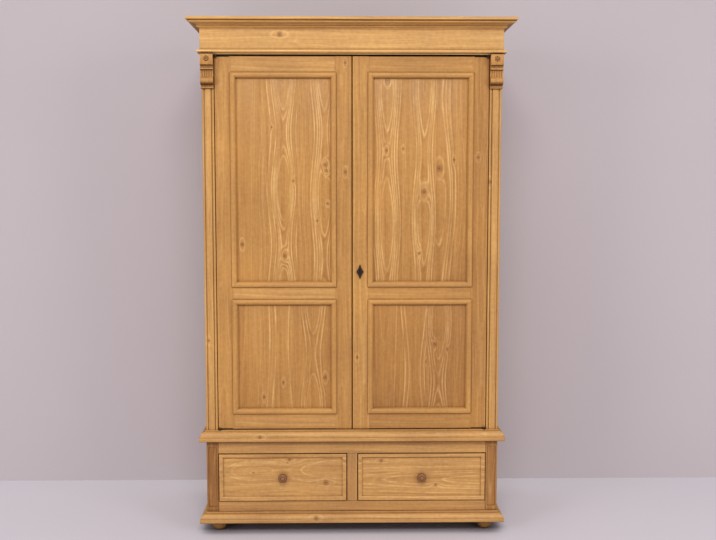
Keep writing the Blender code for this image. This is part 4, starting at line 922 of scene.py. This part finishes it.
for side, sign in SIDES:
    body = f"{side}_door"
    low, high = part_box(f"{side}_door_frame")
    deep = high[1] - low[1]
    inner, outer = sorted((low[0], high[0]), key=abs)
    openings = {}
    for level in ("lower", "upper"):
        panel_low, panel_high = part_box(f"{side}_door_panel_{level}")
        openings[level] = (panel_low[2] + PANEL_TONGUE, panel_high[2] - PANEL_TONGUE)
    groove = (panel_low[1] - FIT - low[1], panel_high[1] + FIT - low[1])
    bed = low[1] + FIT - panel_low[1]

    for place, edge in (("inner", inner), ("outer", outer - sign * STILE)):
        plan = frame_plan(STILE, deep, groove, near=place == "outer", far=place == "inner")
        outline = [(edge + sign * across, low[1] + back, low[2]) for across, back in plan]
        stile = pulled(f"{side}_door_{place}_stile", outline, Z_AXIS * (high[2] - low[2]))
        if place == "outer":
            for end in ("bottom", "top"):
                leaf_low, leaf_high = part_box(f"{side}_hinge_{end}_door_leaf")
                reach = sorted((outer - sign * LEAF_RECESS, outer + sign * SAW_PAST))
                thick = leaf_high[2] - leaf_low[2] + FIT
                level = low[2] - 0.001 if end == "bottom" else high[2] - thick
                cut_away(stile, board("recess", (reach[0], low[1] - 0.001, level),
                    (reach[1], leaf_high[1] + FIT, level + thick + 0.001), ease=0.0001))
        elif side == "right":
            lock_low, lock_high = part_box("lock_case")
            cut_away(stile, board("recess", (inner - SAW_PAST, lock_low[1] - FIT, lock_low[2] - FIT),
                (lock_high[0] + FIT, lock_high[1] + SAW_PAST, lock_high[2] + FIT), ease=0.0001))
            key_x, _, key_z = middle_of(*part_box("escutcheon"))
            cut_away(stile, board("keyhole", (key_x - 0.003, low[1] - 0.002, key_z - 0.009),
                (key_x + 0.003, lock_low[1], key_z + 0.008), ease=0.002))
        else:
            bolt_low, bolt_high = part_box("lock_bolt")
            cut_away(stile, board("mortise", (inner - 0.017, bolt_low[1] - 2 * FIT, bolt_low[2] - 2 * FIT),
                (inner + 0.002, bolt_high[1] + 2 * FIT, bolt_high[2] + 2 * FIT), ease=0.0005))
        look = pine(f"{side}_{place}_stile_pine", "Z", (edge + sign * 0.045, low[1] + 0.05, 1.2),
            lean=0.35 * sign, ring=0.005, stray=0.03, **stile_cuts[side, place])
        dress(stile, look, body, "pine", f"{side}_door_frame")

    rails = (("bottom", low[2], openings["lower"][0], 0.91),
        ("middle", openings["lower"][1], openings["upper"][0], 0.99),
        ("top", openings["upper"][1], high[2], 0.955))
    shoulder = sign * (STILE + MITRE_LINE)
    left, right = sorted((inner + shoulder, outer - shoulder))
    for place, foot, head, tone in rails:
        plan = frame_plan(head - foot, deep, groove, near=place != "bottom", far=place != "top")
        outline = [(left, low[1] + back, foot + up) for up, back in plan]
        rail = pulled(f"{side}_door_{place}_rail", outline, X_AXIS * (right - left))
        look = pine(f"{side}_{place}_rail_pine", "X", (left, low[1] + 0.055, foot - 0.01), lean=0.5 * sign,
            ring=0.0052, tone=tone - 0.02 * sign, pale=0.08 - 0.04 * sign, stray=0.03, soil=1.0)
        dress(rail, look, body, "pine", f"{side}_door_frame")

    for level, (foot, head) in openings.items():
        panel_low, panel_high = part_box(f"{side}_door_panel_{level}")
        joints, cuts = panel_boards[f"{side}_{level}"]
        edges = [panel_low[0], *joints, panel_high[0]]
        for number, (near, far, cut) in enumerate(zip(edges, edges[1:], cuts), start=1):
            pith_x, pith_deep, lean, tone, figure, wave, lines, knots = cut
            plank = board(f"{side}_{level}_panel_board_{number}", (near, panel_low[1], panel_low[2]),
                (far, panel_high[1], panel_high[2]), ease=0.00006)
            pith = (pith_x, low[1] + pith_deep, (foot + head) / 2)
            look = pine(f"{side}_{level}_panel_pine_{number}", "Z", pith, lean=lean, ring=0.008, tone=tone,
                knots=knots, figure=figure, stray=0.007, wave=wave,
                lines=[pith_deep + beyond for beyond in lines], warm=0.12, soil=0.28)
            dress(plank, look, body, "pine", f"{side}_door_panel_{level}")

        section = panel_bead(FIT, bed)
        corners = [(left, low[1], foot), (right, low[1], foot), (right, low[1], head), (left, low[1], head)]
        strips = (("bottom", "X", -Z_AXIS), ("right", "Z", X_AXIS), ("top", "X", Z_AXIS),
            ("left", "Z", -X_AXIS))
        for number, (place, grain, outward) in enumerate(strips):
            start, end = corners[number], corners[(number + 1) % 4]
            strip = length_of(f"{side}_{level}_moulding_{place}", section, start, end, outward, -Y_AXIS)
            pith = (Vector(start) + Vector(end)) / 2 + Vector((0.012, 0.03, 0.012))
            look = pine(f"{side}_{level}_moulding_pine_{place}", grain, pith, ring=0.0042, stray=0.02,
                figure=0.4, soil=0.38)
            dress(strip, look, body, "pine", f"{side}_door_moulding_{level}", smooth=40)


# Ironwork: a cut lock let into the right door, its bolt and its keyhole plate, a bolt on two guides inside
# the left door, and knife hinges let into the ends of both doors. All of it is old iron, browned and waxed.
def iron(name, rough=0.42):
    """Dark browned iron with a hammered unevenness and a little rust."""
    made, tree, place = new_material(name, metallic=0.75)
    cloud = noise(place, (130.0, 130.0, 130.0), detail=4.0)
    grit = noise(place, (900.0, 900.0, 900.0))
    colour = ramp(cloud, (0.0, (0.018, 0.015, 0.014)), (0.5, (0.04, 0.034, 0.031)),
        (0.72, (0.095, 0.055, 0.034)), (1.0, (0.16, 0.08, 0.04)))
    coat(made, colour, grit * 0.35 + (rough - 0.15), cloud * 1.5 + grit, strength=0.35, depth=0.0006)
    return made


low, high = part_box("escutcheon")
key_x, _, key_z = middle_of(low, high)
half_wide, half_tall = (high[0] - low[0]) / 2, (high[2] - low[2]) / 2
# A diamond whose edges curve in to a waist
diamond = [(1, 0), (0.42, 0.45), (0, 1), (-0.42, 0.45), (-1, 0), (-0.42, -0.45), (0, -1), (0.42, -0.45)]
outline = [(key_x + half_wide * across, high[1], key_z + half_tall * up) for across, up in diamond]
keyhole_plate = pulled("keyhole_plate", outline, -Y_AXIS * (high[1] - low[1]))
pick_front(keyhole_plate)
bpy.ops.mesh.inset(thickness=0.001, depth=0.0003)
bpy.ops.mesh.select_mode(type="VERT")
settle(None)
bpy.ops.mesh.primitive_cylinder_add(vertices=32, radius=0.003, depth=0.02,
    location=(key_x, high[1], key_z + 0.005), rotation=(math.radians(90), 0, 0))
cut_away(keyhole_plate, bpy.context.object)
cut_away(keyhole_plate, board("slot", (key_x - 0.0013, low[1] - 0.005, key_z - 0.009),
    (key_x + 0.0013, high[1] + 0.005, key_z + 0.005), ease=0.0004))
plate_iron = iron("keyhole_plate_iron", rough=0.38)
dress(keyhole_plate, plate_iron, "right_door", "iron", "escutcheon", smooth=30)

# Two round-headed pins hold the plate
for end, up in (("upper", 1), ("lower", -1)):
    at = (key_x, low[1], key_z + up * 0.62 * half_tall)
    pin = turned(f"keyhole_plate_pin_{end}", [
        *[(radius, height) for height, radius in arc((0, 0), (0.0011, 0.0019), 0, 90, 6)],
        (0.0008, -0.0015),
        (0, -0.0015),
    ], at, up=(0, -1, 0), steps=20)
    dress(pin, plate_iron, "right_door", "iron", "escutcheon")

hinge_nodes = [f"{side}_hinge_{end}_{leaf}_leaf" for side in ("left", "right") for end in ("bottom", "top")
    for leaf in ("case", "door")]
for name in ("lock_case", "lock_bolt", "door_bolt_plate", "door_bolt", *hinge_nodes):
    finish_in_place(name, iron(f"{name}_iron"))


# The studio: a pale floor, a plain backdrop close behind the wardrobe that only the camera sees, and soft
# light from a wide lamp above the camera and from one at each side. None of it is part of the object.
BACKDROP_Y, PAINT_ROUGHNESS, SKY_ABOVE, SKY_LOW = 0.46, 0.85, 0.93, 0.04
LAMPS = (
    ("lamp_front", (0.0, -7.0, 5.9), (4.0, 1.6), 318),
    ("lamp_left", (-3.4, -3.6, 2.0), (1.6, 2.0), 58),
    ("lamp_right", (3.4, -3.6, 2.0), (1.6, 2.0), 54),
)
LAMPS_AIM = Vector((0.0, 0.0, 1.0))


def big_plane(name, place, turn, colour):
    """A wide plane, its matt paint and the paint's colour, which is a little uneven."""
    settle(None)
    bpy.ops.mesh.primitive_plane_add(size=16, location=place, rotation=turn)
    plane = bpy.context.object
    plane.name = name
    paint, tree, at = new_material(f"{name}_paint")
    plane.data.materials.append(paint)
    return plane, paint, mix(1.0, colour, noise(at, (0.7, 0.7, 0.7)) * 0.12 + 0.94, "MULTIPLY")


floor, paint, colour = big_plane("floor", (0, 0, 0), (0, 0, 0), (0.59, 0.545, 0.595))
# Painted shadow: close under the wardrobe the floor's colour is darkened, as in deep shade
near = node(paint.node_tree, "AmbientOcclusion", {"Distance": 0.085}, "AO", samples=8)
shade = ramp(near, (0.0, (0.34, 0.32, 0.32)), (0.3, (0.36, 0.34, 0.34)), (0.5, (0.8, 0.79, 0.79)),
    (0.7, (1.0, 1.0, 1.0)))
coat(paint, mix(1.0, colour, shade, "MULTIPLY"), PAINT_ROUGHNESS)
floor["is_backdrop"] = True

backdrop, paint, colour = big_plane("backdrop", (0, BACKDROP_Y, 7.9), (math.radians(90), 0, 0),
    (0.505, 0.45, 0.472))
# From behind, the backdrop isn't seen, so that the back of the wardrobe shows
tree = paint.node_tree
behind = node(tree, "NewGeometry", {}, "Backfacing")
clear = node(tree, "BsdfTransparent", {})
both = node(tree, "MixShader", {0: behind, 1: coat(paint, colour, PAINT_ROUGHNESS), 2: clear})
feed(tree.nodes["Material Output"], {"Surface": both})
for kind in ("diffuse", "glossy", "transmission", "volume_scatter", "shadow"):
    setattr(backdrop, f"visible_{kind}", False)
backdrop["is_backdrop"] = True

# The daylight comes from above: the sky is bright overhead and dim at the horizon
scene.world = bpy.data.worlds.new("studio")
scene.world.use_nodes = True
heavens = scene.world.node_tree
up = reckon("MAXIMUM", node(heavens, "TexCoord", {}, "Generated").part("Z"), 0.0)
feed(heavens.nodes["Background"], {"Color": (1.0, 0.98, 0.97, 1.0), "Strength": up * SKY_ABOVE + SKY_LOW})

for name, place, size, watts in LAMPS:
    turn = (LAMPS_AIM - Vector(place)).to_track_quat("-Z", "Y").to_euler()
    bpy.ops.object.light_add(type="AREA", location=place, rotation=turn)
    lamp = bpy.context.object
    lamp.name = name
    lamp.data.shape = "RECTANGLE"
    lamp.data.size, lamp.data.size_y = size
    lamp.data.energy = watts


low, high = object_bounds()
